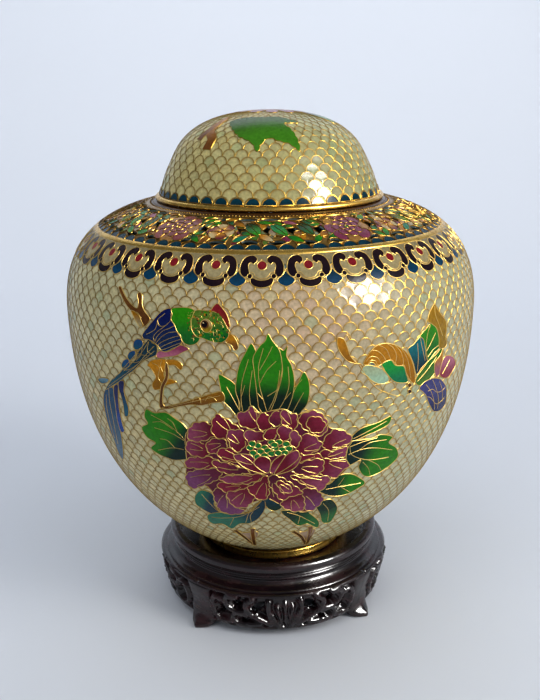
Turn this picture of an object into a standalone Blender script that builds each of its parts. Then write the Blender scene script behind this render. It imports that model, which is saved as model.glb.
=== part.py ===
"""Openwork enamel ginger jar with a domed lid, on a carved rosewood stand.

Metres, +Z up. The origin is on the axis, at the height of the stand's feet.
The jar is a thin enamel shell; its shoulder, above the seam that a gilt band
covers, is pierced between its flowers.
"""

import math

import bmesh
import bpy
from mathutils import Vector
from mathutils.geometry import delaunay_2d_cdt

# Facets round every turned piece, and the gap between pieces that touch.
SEGMENTS = 36
GAP = 0.0003

# Stand: the turned top with its recess for the jar's foot.
STAND_HEIGHT = 0.0310
SEAT_CLEARANCE = 0.0098
SEAT_DEPTH = 0.0053
BOARD_THICKNESS = 0.0062
LIP_WIDTH = 0.0042
LIP_HEIGHT = 0.0046
GROOVE_DEPTH = 0.0012
COVE_DEPTH = 0.0022
LEDGE_REACH = 0.0022
LEDGE_HEIGHT = 0.0016

# Stand: the pierced apron under the top, and the feet.
APRON_FLARE = 0.0040
APRON_TAPER = 0.0035
APRON_THICKNESS = 0.0045
APRON_CLEARANCE = 0.0030
APRON_OVERLAP = 0.0010
LEAF_RELIEF = 0.0014
FOOT_COUNT = 4
FOOT_TURN = math.radians(5.5)
FOOT_FLARE = 0.0059
FOOT_DEPTH = 0.0078
FOOT_WIDTH = 0.0116
FOOT_TOE_WIDTH = 0.0124
FOOT_TOE_HEIGHT = 0.0014
FOOT_KNEE = 0.0006

# Foot ring under the jar.
FOOT_RING_RADIUS = 0.0300
FOOT_RING_WIDTH = 0.0030
FOOT_RING_HEIGHT = 0.0032

# Jar body.
WALL = 0.0016
JAR_HEIGHT = 0.1378
BASE_INSET = 0.0005
BELLY_RADIUS = 0.0800
BELLY_HEIGHT = 0.0990
HIP_FULLNESS = 0.0456
HIP_REACH = 0.0346
HIP_SLOPE = 0.54
SHOULDER_RISE = 0.0237
SHOULDER_REACH = 0.0227
SHOULDER_SLOPE = 0.186
MOUTH_LEDGE = 0.0008
SEAM_STRIP = 0.0033
SEAM_GAP = 0.0005
HIP_SEAM = 0.0440
BODY_ROWS = 7
SHOULDER_ROWS = 4

# Pierced shoulder: the plain strip round the lid, the openwork and its sprays.
STRIP_WIDTH = 0.0024
OPENWORK_WIDTH = 0.0184
OPENWORK_MARGIN = 0.0014
SPRAYS = 6
FIRST_SPRAY = math.radians(27.0)

# Lid.
LID_RADIUS = 0.0435
LID_HEIGHT = 0.0327
LID_SHOULDER_INSET = 0.0071
LID_SHOULDER_HEIGHT = 0.0173
LID_WALL = 0.0015
LID_SEAT_MARGIN = 0.0007
RIM_HEIGHT = 0.0019
RIM_WIDTH = 0.0026
RIM_PROUD = 0.0004
LID_WALL_ROWS = 3
LID_CROWN_ROWS = 4

# Collar round the mouth, inside the lid.
LID_PLAY = 0.0030
COLLAR_WALL = 0.0014
COLLAR_HEIGHT = 0.0075

# Heights and radii that follow from the sizes above.
SEAT_FLOOR = STAND_HEIGHT - SEAT_DEPTH
BOARD_BOTTOM = SEAT_FLOOR - BOARD_THICKNESS
SEAT_RADIUS = FOOT_RING_RADIUS + SEAT_CLEARANCE
LIP_RADIUS = SEAT_RADIUS + LIP_WIDTH
APRON_TOP_RADIUS = LIP_RADIUS + APRON_FLARE
APRON_FOOT_RADIUS = APRON_TOP_RADIUS - APRON_TAPER
FOOT_REACH = APRON_FOOT_RADIUS + FOOT_FLARE
RING_BOTTOM = SEAT_FLOOR + GAP
JAR_BOTTOM = RING_BOTTOM + FOOT_RING_HEIGHT + GAP
JAR_TOP = JAR_BOTTOM + JAR_HEIGHT
BASE_RADIUS = FOOT_RING_RADIUS - BASE_INSET
LID_BOTTOM = JAR_TOP + GAP
LID_SHOULDER_RADIUS = LID_RADIUS - LID_SHOULDER_INSET
LEDGE_RADIUS = LID_RADIUS + LID_SEAT_MARGIN
OPENWORK_INNER = LEDGE_RADIUS + STRIP_WIDTH
OPENWORK_OUTER = OPENWORK_INNER + OPENWORK_WIDTH
SEAM_RADIUS = OPENWORK_OUTER + SEAM_STRIP
COLLAR_RADIUS = LID_RADIUS - RIM_WIDTH - LID_PLAY
COLLAR_BORE = COLLAR_RADIUS - COLLAR_WALL
MOUTH_RADIUS = COLLAR_BORE - MOUTH_LEDGE


def clear_scene():
    """Start from an empty scene."""
    for item in list(bpy.data.objects):
        bpy.data.objects.remove(item, do_unlink=True)


def make_material(name, color, roughness, metallic):
    """A plain Principled material in the piece's colour."""
    material = bpy.data.materials.new(name)
    material.use_nodes = True
    shader = material.node_tree.nodes["Principled BSDF"]
    shader.inputs["Base Color"].default_value = (*color, 1.0)
    shader.inputs["Roughness"].default_value = roughness
    shader.inputs["Metallic"].default_value = metallic
    return material


def make_object(name, bm, material, smooth=True):
    """Turn a bmesh into an object, its round faces shaded smooth."""
    mesh = bpy.data.meshes.new(name)
    bm.to_mesh(mesh)
    bm.free()
    item = bpy.data.objects.new(name, mesh)
    bpy.context.collection.objects.link(item)
    if material:
        mesh.materials.append(material)
    if smooth:
        mesh.shade_smooth()
        mesh.set_sharp_from_angle(angle=math.radians(35.0))
    return item


def curve(start, start_handle, end_handle, end, rows):
    """Points along a smooth curve, its start left out."""
    points = []
    for row in range(1, rows + 1):
        t = row / rows
        a, b, c, d = (1 - t) ** 3, 3 * t * (1 - t) ** 2, 3 * t * t * (1 - t), t ** 3
        points.append((
            a * start[0] + b * start_handle[0] + c * end_handle[0] + d * end[0],
            a * start[1] + b * start_handle[1] + c * end_handle[1] + d * end[1],
        ))
    return points


def polar(radius, angle):
    """A plan point at an angle that starts at the front and turns to the right."""
    return (radius * math.sin(angle), -radius * math.cos(angle))


def turn(name, outline, material):
    """Turn a closed outline round the axis; its outer side runs from top to bottom."""
    bm = bmesh.new()
    verts = [bm.verts.new((radius, 0.0, height)) for radius, height in outline]
    on_axis = outline[0][0] == 0.0
    for index, vert in enumerate(verts):
        following = (index + 1) % len(verts)
        if following or not on_axis:
            bm.edges.new((vert, verts[following]))
    item = make_object(name, bm, material, smooth=False)
    screw = item.modifiers.new("turning", "SCREW")
    screw.steps = SEGMENTS
    screw.render_steps = SEGMENTS
    screw.use_merge_vertices = True
    screw.merge_threshold = 0.00001
    screw.use_smooth_shade = True
    return item


def add_ring(bm, radius, height):
    """One ring of vertices, counted round as polar() turns."""
    step = math.tau / SEGMENTS
    return [bm.verts.new((*polar(radius, k * step), height)) for k in range(SEGMENTS)]


def join_rings(bm, lower, upper):
    """Face the band between two rings, facing outwards."""
    for k in range(SEGMENTS):
        after = (k + 1) % SEGMENTS
        bm.faces.new((lower[k], lower[after], upper[after], upper[k]))


def lens(centre, length, width, tilt, corners=6):
    """An oval opening in plan: its length lies across the radius when tilt is 0."""
    out = Vector(centre).normalized()
    across = Vector((-out.y, out.x))
    points = []
    for k in range(corners):
        a = math.tau * k / corners
        u, v = math.cos(a) * length / 2, math.sin(a) * width / 2
        s = u * math.cos(tilt) - v * math.sin(tilt)
        r = u * math.sin(tilt) + v * math.cos(tilt)
        points.append(Vector(centre) + across * s + out * r)
    return points


def inside(point, polygon):
    """Whether a plan point lies in a polygon."""
    hit = False
    for here, there in zip(polygon, polygon[1:] + polygon[:1]):
        if (here[1] > point[1]) != (there[1] > point[1]):
            share = (point[1] - here[1]) / (there[1] - here[1])
            if point[0] < here[0] + share * (there[0] - here[0]):
                hit = not hit
    return hit


def fill_pierced(bm, rings, openings, place, raised=()):
    """Face the band between two rings of (plan point, vertex), with openings in it.

    place(point, lift) gives the position of a new vertex. raised holds
    further plan points with their lift, which shape the carving.
    """
    points, verts, edges = [], [], []
    for ring in rings:
        first = len(points)
        for point, vert in ring:
            points.append(Vector(point))
            verts.append(vert)
        edges += [(first + k, first + (k + 1) % len(ring)) for k in range(len(ring))]
    for opening in openings:
        first, count = len(points), len(opening)
        for point in opening:
            points.append(point)
            verts.append(bm.verts.new(place(point, 0.0)))
        edges += [(first + k, first + (k + 1) % count) for k in range(count)]
    for point, lift in raised:
        points.append(Vector(point))
        verts.append(bm.verts.new(place(point, lift)))

    spots, _, faces, origins, _, _ = delaunay_2d_cdt(points, edges, [], 1, 1e-7)
    inner = min(rings, key=lambda ring: Vector(ring[0][0]).length)
    closed = openings + [[Vector(point) for point, _ in inner]]
    for face in faces:
        middle = sum((spots[k] for k in face), Vector((0.0, 0.0))) / len(face)
        if not any(inside(middle, polygon) for polygon in closed):
            bm.faces.new([verts[origins[k][0]] for k in face])


def offset_inward(points, thickness):
    """An outline moved square to itself, towards the inside of its curve."""
    moved = []
    for index, (radius, height) in enumerate(points):
        before = Vector(points[max(index - 1, 0)])
        after = Vector(points[min(index + 1, len(points) - 1)])
        along = (after - before).normalized()
        moved.append((max(radius - along.y * thickness, 0.0), height + along.x * thickness))
    return moved


def thicken(item, thickness):
    """Give a skin its wall, on the inner side."""
    wall = item.modifiers.new("wall", "SOLIDIFY")
    wall.thickness = thickness
    wall.offset = -1.0
    wall.use_even_offset = True
    wall.use_rim = True


def jar_outline():
    """The jar's outer side, from its base out to the belly and in to the lid's seat."""
    base = (BASE_RADIUS, JAR_BOTTOM)
    belly = (BELLY_RADIUS, JAR_BOTTOM + BELLY_HEIGHT)
    ledge = (LEDGE_RADIUS, JAR_TOP)
    hip = curve(
        base,
        (base[0] + HIP_REACH, base[1] + HIP_REACH * HIP_SLOPE),
        (belly[0], belly[1] - HIP_FULLNESS),
        belly, BODY_ROWS)
    shoulder = curve(
        belly,
        (belly[0], belly[1] + SHOULDER_RISE),
        (ledge[0] + SHOULDER_REACH, ledge[1] - SHOULDER_REACH * SHOULDER_SLOPE),
        ledge, 60)
    return [base] + hip, shoulder


def height_at(outline, radius):
    """The height of an outline that runs inwards, at a radius."""
    for (r0, z0), (r1, z1) in zip(outline, outline[1:]):
        if r1 <= radius <= r0:
            return z0 + (z1 - z0) * (r0 - radius) / (r0 - r1)
    return outline[-1][1]


def radius_at(outline, height):
    """The radius of an outline that rises, at a height."""
    for (r0, z0), (r1, z1) in zip(outline, outline[1:]):
        if z0 <= height <= z1:
            return r0 + (r1 - r0) * (height - z0) / (z1 - z0)
    return outline[-1][0]


def spray_openings():
    """The openings of one spray after another, between its blossom, bud and leaves."""
    # Each opening: degrees from the blossom, share of the way out from the
    # lid, length, width and tilt in degrees.
    spray = [
        (-10.2, 0.52, 8.8, 3.7, 78.0), (10.2, 0.50, 8.4, 3.7, -78.0),
        (0.0, 0.04, 8.4, 2.2, 0.0),
        (-6.8, 0.89, 5.0, 2.1, 12.0), (6.2, 0.89, 5.0, 2.1, -12.0),
        (15.2, 0.11, 7.6, 3.2, -6.0), (16.4, 0.91, 7.4, 2.2, -4.0),
        (24.2, 0.50, 7.8, 3.6, 62.0),
        (24.6, 0.09, 7.0, 2.8, 4.0), (27.0, 0.88, 5.8, 2.6, 4.0),
        (32.4, 0.49, 8.2, 3.8, 54.0), (33.6, 0.07, 7.2, 2.6, 0.0),
        (35.0, 0.89, 6.0, 2.5, -4.0), (40.6, 0.51, 8.2, 3.8, 62.0),
        (42.4, 0.06, 6.6, 2.4, 6.0), (44.0, 0.89, 6.6, 2.4, 4.0),
    ]
    openings = []
    for number in range(SPRAYS):
        blossom = FIRST_SPRAY + number * math.tau / SPRAYS
        for turned, share, length, width, tilt in spray:
            spread = math.radians(turned) * 6 / SPRAYS
            first = OPENWORK_INNER + OPENWORK_MARGIN
            radius = first + share * (OPENWORK_OUTER - first)
            centre = polar(radius, blossom + spread)
            openings.append(lens(centre, length / 1000, width / 1000, math.radians(tilt)))
    return openings


def make_jar(enamel):
    """The enamel body, of even thickness, in two: a bowl up to the hip, and the rest."""
    hip, shoulder = jar_outline()
    seam = (SEAM_RADIUS, height_at(shoulder, SEAM_RADIUS))
    below = [point for point in shoulder if point[1] < seam[1]]
    last = len(below) - 1
    rows = [below[round(last * k / SHOULDER_ROWS)] for k in range(1, SHOULDER_ROWS)]

    parting = JAR_BOTTOM + HIP_SEAM
    lower = [point for point in hip if point[1] < parting]
    lower.append((radius_at(hip, parting), parting))
    lower.insert(0, (0.0, JAR_BOTTOM))
    inner = offset_inward(lower, WALL)
    inner[0] = (0.0, JAR_BOTTOM + WALL)
    turn("jar_hip", inner + lower[::-1], enamel)

    start = parting + GAP
    upper = [(radius_at(hip, start), start)]
    upper += [point for point in hip if point[1] > start]
    upper += rows + [seam]
    turn("jar_body", offset_inward(upper, WALL) + upper[::-1], enamel)


def make_shoulder(enamel):
    """The pierced shoulder with the lid's seat and the mouth: a skin given its wall."""
    _, shoulder = jar_outline()
    bm = bmesh.new()
    start = SEAM_RADIUS - SEAM_GAP
    seam_ring = add_ring(bm, start, height_at(shoulder, start))
    outer_ring = add_ring(bm, OPENWORK_OUTER, height_at(shoulder, OPENWORK_OUTER))
    inner_ring = add_ring(bm, OPENWORK_INNER, height_at(shoulder, OPENWORK_INNER))

    def on_shoulder(point, lift):
        radius = Vector(point).length
        return (point[0], point[1], height_at(shoulder, radius) + lift)

    # The openwork is faced in plan and lifted to the shoulder's curve.
    join_rings(bm, seam_ring, outer_ring)
    edges = [[(vert.co.xy, vert) for vert in ring] for ring in (outer_ring, inner_ring)]
    fill_pierced(bm, edges, spray_openings(), on_shoulder)

    # The strip under the lid's edge, the lid's seat and the mouth.
    ledge_ring = add_ring(bm, LEDGE_RADIUS, JAR_TOP)
    mouth_ring = add_ring(bm, MOUTH_RADIUS, JAR_TOP)
    join_rings(bm, inner_ring, ledge_ring)
    join_rings(bm, ledge_ring, mouth_ring)
    item = make_object("openwork_shoulder", bm, enamel)
    thicken(item, WALL)
    return item


def make_foot_ring(gilt):
    """The ring that the jar stands on, its outer corners rounded."""
    outer, inner = FOOT_RING_RADIUS, FOOT_RING_RADIUS - FOOT_RING_WIDTH
    top, bottom = RING_BOTTOM + FOOT_RING_HEIGHT, RING_BOTTOM
    round_off = FOOT_RING_HEIGHT / 4
    outline = [
        (outer - round_off, top),
        (outer, top - round_off),
        (outer, bottom + round_off),
        (outer - round_off, bottom),
        (inner, bottom),
        (inner, top),
    ]
    return turn("foot_ring", outline, gilt)


def make_collar(gilt):
    """The collar that stands on the mouth's edge, inside the lid."""
    bottom, top = JAR_TOP + GAP, JAR_TOP + GAP + COLLAR_HEIGHT
    round_off = COLLAR_WALL / 3
    outline = [
        (COLLAR_RADIUS - round_off, top),
        (COLLAR_RADIUS, top - round_off),
        (COLLAR_RADIUS, bottom),
        (COLLAR_BORE, bottom),
        (COLLAR_BORE, top),
    ]
    return turn("neck_collar", outline, gilt)


def lid_outline():
    """The lid's outer side from its lower edge to its top."""
    edge = (LID_RADIUS, LID_BOTTOM)
    shoulder = (LID_SHOULDER_RADIUS, LID_BOTTOM + LID_SHOULDER_HEIGHT)
    top = (0.0, LID_BOTTOM + LID_HEIGHT)
    lean = LID_SHOULDER_INSET * 0.8
    crown = LID_HEIGHT - LID_SHOULDER_HEIGHT
    wall = curve(
        edge,
        (edge[0] - lean * 0.7, edge[1] + LID_SHOULDER_HEIGHT * 0.6),
        (shoulder[0] + lean, shoulder[1] - LID_SHOULDER_HEIGHT * 0.65),
        shoulder, 12)
    dome = curve(
        shoulder,
        (shoulder[0] - lean * 0.95, shoulder[1] + crown * 0.69),
        (LID_SHOULDER_RADIUS * 0.51, top[1]),
        top, LID_CROWN_ROWS)
    return [edge] + wall, dome


def make_lid(enamel):
    """The domed lid, of even thickness and open below, with a flat lower edge."""
    wall, dome = lid_outline()
    start = LID_BOTTOM + RIM_HEIGHT + GAP
    rising = [point for point in wall if point[1] > start]
    below = wall[len(wall) - len(rising) - 1]
    share = (start - below[1]) / (rising[0][1] - below[1])
    edge = (below[0] + share * (rising[0][0] - below[0]), start)
    last = len(rising) - 1
    rows = [rising[round(last * k / LID_WALL_ROWS)] for k in range(1, LID_WALL_ROWS + 1)]
    outer = [edge] + rows + dome
    inner = offset_inward(outer, LID_WALL)
    inner[0] = (edge[0] - LID_WALL, start)
    inner[-1] = (0.0, outer[-1][1] - LID_WALL)
    return turn("lid_dome", outer[::-1] + inner, enamel)


def make_lid_rim(gilt):
    """The rim round the lid's lower edge, which rests on the jar's shoulder."""
    outer, inner = LID_RADIUS + RIM_PROUD, LID_RADIUS - RIM_WIDTH
    top, bottom = LID_BOTTOM + RIM_HEIGHT, LID_BOTTOM
    bulge = RIM_HEIGHT / 3
    outline = [
        (outer - bulge, top),
        (outer, top - bulge),
        (outer, bottom + bulge),
        (outer - bulge / 2, bottom),
        (inner, bottom),
        (inner, top),
    ]
    return turn("lid_rim", outline, gilt)


def make_guide(name, bm):
    """A helper body that only a union uses."""
    item = make_object(name, bm, None, smooth=False)
    item.hide_render = True
    item.display_type = "WIRE"
    return item


def apron_radius(height):
    """The apron's outer radius at a height: it tapers down to its lower edge."""
    share = (BOARD_BOTTOM - height) / (BOARD_BOTTOM - APRON_CLEARANCE)
    return APRON_TOP_RADIUS - APRON_TAPER * min(max(share, 0.0), 1.0)


def apron_carving():
    """One bay's openings and raised leaf, mirrored about the bay's middle.

    Openings: degrees from the middle, share of the way down, length, width
    and tilt. Raised points: degrees, share of the way down, share of the relief.
    """
    openings = [
        (13.0, 0.36, 7.4, 4.2, 34.0), (20.5, 0.72, 4.6, 3.0, -12.0),
        (24.0, 0.30, 5.6, 3.2, -28.0), (32.0, 0.52, 6.8, 3.2, 66.0),
    ]
    raised = [
        (2.2, 0.24, 0.7), (3.6, 0.56, 1.0), (7.6, 0.66, 0.9), (11.4, 0.80, 0.6),
        (17.2, 0.46, 0.9), (27.4, 0.62, 0.9), (25.6, 0.84, 0.5),
    ]
    return openings, raised


def make_apron():
    """The pierced apron: a pierced skin with its carving, given its wall inwards."""
    top, bottom = BOARD_BOTTOM + APRON_OVERLAP, APRON_CLEARANCE
    # The skin is faced in a flat plan where going out means going down.
    plan_inner = APRON_TOP_RADIUS

    def plan(height, angle):
        return Vector(polar(plan_inner + top - height, angle))

    def on_apron(point, lift):
        point = Vector(point)
        height = top - (point.length - plan_inner)
        out = point.normalized() * (apron_radius(height) + lift)
        return (out.x, out.y, height)

    bm = bmesh.new()
    step = math.tau / SEGMENTS
    rings = []
    for height in (bottom, top):
        ring = []
        for k in range(SEGMENTS):
            point = plan(height, k * step)
            ring.append((point, bm.verts.new(on_apron(point, 0.0))))
        rings.append(ring)

    one_side, reliefs = apron_carving()
    openings, raised = [], []
    bay = math.tau / FOOT_COUNT
    for number in range(FOOT_COUNT):
        middle = FOOT_TURN + number * bay
        for side in (-1, 1):
            for turned, share, length, width, tilt in one_side:
                angle = middle + side * math.radians(turned) * 4 / FOOT_COUNT
                centre = plan(BOARD_BOTTOM - share * (BOARD_BOTTOM - bottom), angle)
                lean = math.radians(side * tilt)
                openings.append(lens(centre, length / 1000, width / 1000, lean))
            for turned, share, lift in reliefs:
                angle = middle + side * math.radians(turned) * 4 / FOOT_COUNT
                spot = plan(BOARD_BOTTOM - share * (BOARD_BOTTOM - bottom), angle)
                raised.append((spot, lift * LEAF_RELIEF))
    fill_pierced(bm, rings, openings, on_apron, raised)
    bmesh.ops.recalc_face_normals(bm, faces=bm.faces)
    apron = make_guide("apron_skin", bm)
    thicken(apron, APRON_THICKNESS)
    return apron


def make_feet():
    """The four feet: flared toes that rise behind the apron to the board."""
    top = BOARD_BOTTOM - 3 * APRON_OVERLAP
    knee = (FOOT_TOE_HEIGHT + top) / 2
    sections = [
        (0.0, FOOT_REACH - FOOT_KNEE, FOOT_TOE_WIDTH),
        (FOOT_TOE_HEIGHT, FOOT_REACH, FOOT_TOE_WIDTH),
        (2.6 * FOOT_TOE_HEIGHT, apron_radius(0.0) + FOOT_FLARE / 4, FOOT_WIDTH),
        (knee, apron_radius(knee) + FOOT_KNEE, FOOT_WIDTH),
        (top, apron_radius(top) + FOOT_KNEE, FOOT_WIDTH),
    ]
    bm = bmesh.new()
    for number in range(FOOT_COUNT):
        angle = FOOT_TURN + (number + 0.5) * math.tau / FOOT_COUNT
        out = Vector(polar(1.0, angle))
        across = Vector((-out.y, out.x))
        loops = []
        for height, reach, width in sections:
            corners = [(reach, -width / 2), (reach, width / 2),
                       (reach - FOOT_DEPTH, width / 2), (reach - FOOT_DEPTH, -width / 2)]
            loop = [bm.verts.new((*(out * r + across * s), height)) for r, s in corners]
            loops.append(loop)
        for lower, upper in zip(loops, loops[1:]):
            for k in range(4):
                after = (k + 1) % 4
                bm.faces.new((lower[k], lower[after], upper[after], upper[k]))
        bm.faces.new(loops[0][::-1])
        bm.faces.new(loops[-1])
    bmesh.ops.recalc_face_normals(bm, faces=bm.faces)
    return make_guide("feet", bm)


def make_stand(rosewood):
    """The stand: its turned top, united with the apron and the feet."""
    lip_inner = SEAT_RADIUS
    round_off = LIP_WIDTH / 4
    groove = STAND_HEIGHT - LIP_HEIGHT
    waist = LIP_RADIUS - COVE_DEPTH
    ledge = LIP_RADIUS + LEDGE_REACH
    ledge_top = BOARD_BOTTOM + LEDGE_HEIGHT
    outline = [
        (0.0, SEAT_FLOOR),
        (lip_inner, SEAT_FLOOR),
        (lip_inner, STAND_HEIGHT - round_off),
        (lip_inner + round_off, STAND_HEIGHT),
        (LIP_RADIUS - round_off, STAND_HEIGHT),
        (LIP_RADIUS, STAND_HEIGHT - round_off),
        (LIP_RADIUS, groove + round_off),
        (LIP_RADIUS - GROOVE_DEPTH, groove),
        (waist, (groove + ledge_top) / 2),
        (ledge - LEDGE_REACH / 2, ledge_top),
        (ledge, BOARD_BOTTOM + LEDGE_HEIGHT / 2),
        (ledge, BOARD_BOTTOM),
        (0.0, BOARD_BOTTOM),
    ]
    stand = turn("stand", outline, rosewood)
    for helper in (make_apron(), make_feet()):
        union = stand.modifiers.new("join " + helper.name, "BOOLEAN")
        union.operation = "UNION"
        union.object = helper
        union.solver = "EXACT"
    return stand


def main():
    clear_scene()
    enamel = make_material("enamel", (0.78, 0.76, 0.62), 0.18, 0.0)
    gilt = make_material("gilt_brass", (0.83, 0.62, 0.22), 0.25, 1.0)
    rosewood = make_material("rosewood", (0.035, 0.018, 0.018), 0.3, 0.0)
    make_stand(rosewood)
    make_foot_ring(gilt)
    make_jar(enamel)
    make_shoulder(enamel)
    make_collar(gilt)
    make_lid(enamel)
    make_lid_rim(gilt)


main()
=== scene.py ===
import math
from collections import namedtuple

import bpy
import numpy as np
from mathutils import Matrix, Vector
from mathutils.geometry import delaunay_2d_cdt


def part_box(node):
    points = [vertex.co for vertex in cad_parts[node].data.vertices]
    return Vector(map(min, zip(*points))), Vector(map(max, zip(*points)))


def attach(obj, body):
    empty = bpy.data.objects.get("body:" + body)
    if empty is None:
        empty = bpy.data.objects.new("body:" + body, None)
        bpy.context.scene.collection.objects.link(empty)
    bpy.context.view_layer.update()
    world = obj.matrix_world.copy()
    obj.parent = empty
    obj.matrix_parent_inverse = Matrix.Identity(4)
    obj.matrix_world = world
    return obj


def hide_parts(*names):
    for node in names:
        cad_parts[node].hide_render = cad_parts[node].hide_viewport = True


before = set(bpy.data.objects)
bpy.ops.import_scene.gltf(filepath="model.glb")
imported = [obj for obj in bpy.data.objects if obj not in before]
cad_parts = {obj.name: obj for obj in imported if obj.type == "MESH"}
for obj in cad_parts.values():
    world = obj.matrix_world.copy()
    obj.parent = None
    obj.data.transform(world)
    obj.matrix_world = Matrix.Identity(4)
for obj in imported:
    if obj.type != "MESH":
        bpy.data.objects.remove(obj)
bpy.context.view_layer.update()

MM = 0.001
RNG = np.random.default_rng(7)

# Heights over the outer side of the solids, in mm. All lie a little under it, so that the
# wires stay inside the solids' box. VEIN_DROP is how much lower a loose wire is.
SKIN = -0.60
CELL = -0.44
CELL_DIP = -0.07
SCALE_WIRE = -0.33
PATCH = -0.28
WIRE_TOP = -0.15
VEIN_DROP = 0.03
SCALE_WIRE_WIDTH = 0.24
# Angles over a scale's round top.
SCALE_ARCH = np.linspace(0, math.pi, 7)
# The least length that is divided by.
TINY = 1e-9


def colour(red, green, blue):
    """A colour given in screen values, as linear light."""
    value = np.array([red, green, blue], float) / 255.0
    return np.where(value <= 0.04045, value / 12.92, ((value + 0.055) / 1.055) ** 2.4)


CREAM = colour(212, 192, 138)
PEARL = colour(194, 192, 158)
SHELL = colour(206, 174, 144)
# Pearl grey of the painted sheen on the cells of the right side.
SHEEN_PEARL = colour(178, 180, 154)
CELADON = colour(164, 178, 140)
AMBER_EDGE = colour(158, 118, 52)
BRIGHT_GREEN = colour(42, 136, 8)
LEAF_GREEN = colour(18, 98, 30)
OLIVE = colour(80, 112, 34)
SLATE = colour(96, 130, 144)
DEEP_GREEN = colour(6, 40, 22)
EMERALD = colour(14, 112, 70)
SEA_GREEN = colour(30, 112, 84)
MAUVE = colour(138, 54, 84)
PLUM = colour(92, 22, 46)
CRIMSON = colour(132, 18, 46)
PINK = colour(176, 98, 120)
TEAL = colour(12, 78, 98)
DEEP_TEAL = colour(8, 46, 60)
TURQUOISE = colour(14, 108, 140)
NAVY = colour(10, 22, 78)
BLUE = colour(22, 62, 136)
VIOLET = colour(70, 70, 136)
AMBER = colour(182, 118, 12)
BROWN = colour(108, 64, 26)
MAROON = colour(124, 24, 32)
INK = colour(22, 12, 22)
AQUA = colour(160, 192, 160)
FLY_GREEN = colour(14, 148, 52)


def bezier(p0, p1, p2, p3, count):
    """Points along a cubic curve, both ends in."""
    t = np.linspace(0.0, 1.0, count)[:, None]
    p0, p1, p2, p3 = (np.array(p, float) for p in (p0, p1, p2, p3))
    return (1 - t) ** 3 * p0 + 3 * (1 - t) ** 2 * t * p1 + 3 * (1 - t) * t * t * p2 + t ** 3 * p3


def from_axis(points):
    """Distance from the axis of plan points, and their angle round from the front."""
    points = np.asarray(points, float).reshape(-1, 2)
    return np.hypot(points[:, 0], points[:, 1]), np.arctan2(points[:, 0], -points[:, 1])


def plan(angle, reach):
    """Plan points at angles round from the front, in radians."""
    return np.stack([reach * np.sin(angle), -reach * np.cos(angle)], -1)


class Profile:
    """A round piece's outer side (radius, height), read by the length v along it."""

    def __init__(self, points):
        self.r, self.z = np.array(points, float).T
        steps = np.hypot(np.diff(self.r), np.diff(self.z))
        self.v = np.concatenate([[0.0], np.cumsum(steps)])
        self.length = self.v[-1]
        slope_r = np.gradient(self.r, self.v)
        slope_z = np.gradient(self.z, self.v)
        size = np.hypot(slope_r, slope_z)
        self.nr, self.nz = slope_z / size, -slope_r / size

    def radius(self, v):
        return np.interp(v, self.v, self.r)

    def lifted(self, v, lift):
        """Radius and height at a distance out from the side."""
        return (np.interp(v, self.v, self.r) + lift * np.interp(v, self.v, self.nr),
                np.interp(v, self.v, self.z) + lift * np.interp(v, self.v, self.nz))

    def ring(self, angle, v, lift):
        """Points at angles round from the front, in radians."""
        radius, height = self.lifted(np.asarray(v, float), lift)
        x, y = radius * np.sin(angle), -radius * np.cos(angle)
        return np.stack(np.broadcast_arrays(x, y, height), -1)

    def place(self, points, lift, turn=0.0):
        """Flat points (u along the round, v up the side) laid on the surface."""
        points = np.asarray(points, float).reshape(-1, 2)
        angle = points[:, 0] / self.radius(points[:, 1]) + turn
        return self.ring(angle, points[:, 1], lift)

    def crown(self, points, lift):
        """Flat points round the top laid on the surface: x right, y back."""
        reach, angle = from_axis(points)
        return self.ring(angle, self.length - reach, lift)


# The outer sides as in the solids, as (radius, height) in mm.
FOOT_TOP = (29.5, 29.5)
BELLY = (80.0, 128.5)
MOUTH = (44.2, 167.3)
LID_EDGE = (43.5, 167.6)
LID_SHOULDER = (36.4, 184.9)
LID_TOP = (0.01, 200.3)
JAR_OUTLINE = np.vstack([
    bezier(FOOT_TOP, (64.1, 48.2), (80.0, 82.9), BELLY, 300),
    bezier(BELLY, (80.0, 152.2), (66.9, 163.08), MOUTH, 240)[1:],
])
LID_OUTLINE = np.vstack([
    bezier(LID_EDGE, (39.52, 177.98), (42.08, 173.66), LID_SHOULDER, 120),
    bezier(LID_SHOULDER, (31.0, 195.53), (18.56, 200.3), LID_TOP, 200)[1:],
])
JAR = Profile(JAR_OUTLINE)
LID = Profile(LID_OUTLINE)

# The camera at the photo's viewing angle: place and aim in mm, lens in mm, roll in
# degrees, and the photo's size and middle in pixels.
CAMERA_PLACE = np.array([0.0, -343.9, 211.5])
CAMERA_AIM = np.array([0.0, 0.0, 105.0])
CAMERA_LENS, CAMERA_SENSOR = 45.26, 36.0
CAMERA_ROLL = -0.6
PHOTO_WIDTH, PHOTO_HEIGHT = 540, 700
PHOTO_MIDDLE = np.array([271.0, 350.0])
# The stretch of a ray in which it can meet the pot, and the steps along it, in mm.
RAY_NEAR, RAY_FAR, RAY_STEP = 240.0, 460.0, 0.2


def camera_turn():
    """The camera's turn: its right, up and backward directions as columns."""
    look = Vector(CAMERA_AIM - CAMERA_PLACE).to_track_quat("-Z", "Y").to_matrix()
    return look @ Matrix.Rotation(math.radians(CAMERA_ROLL), 3, "Z")


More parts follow.
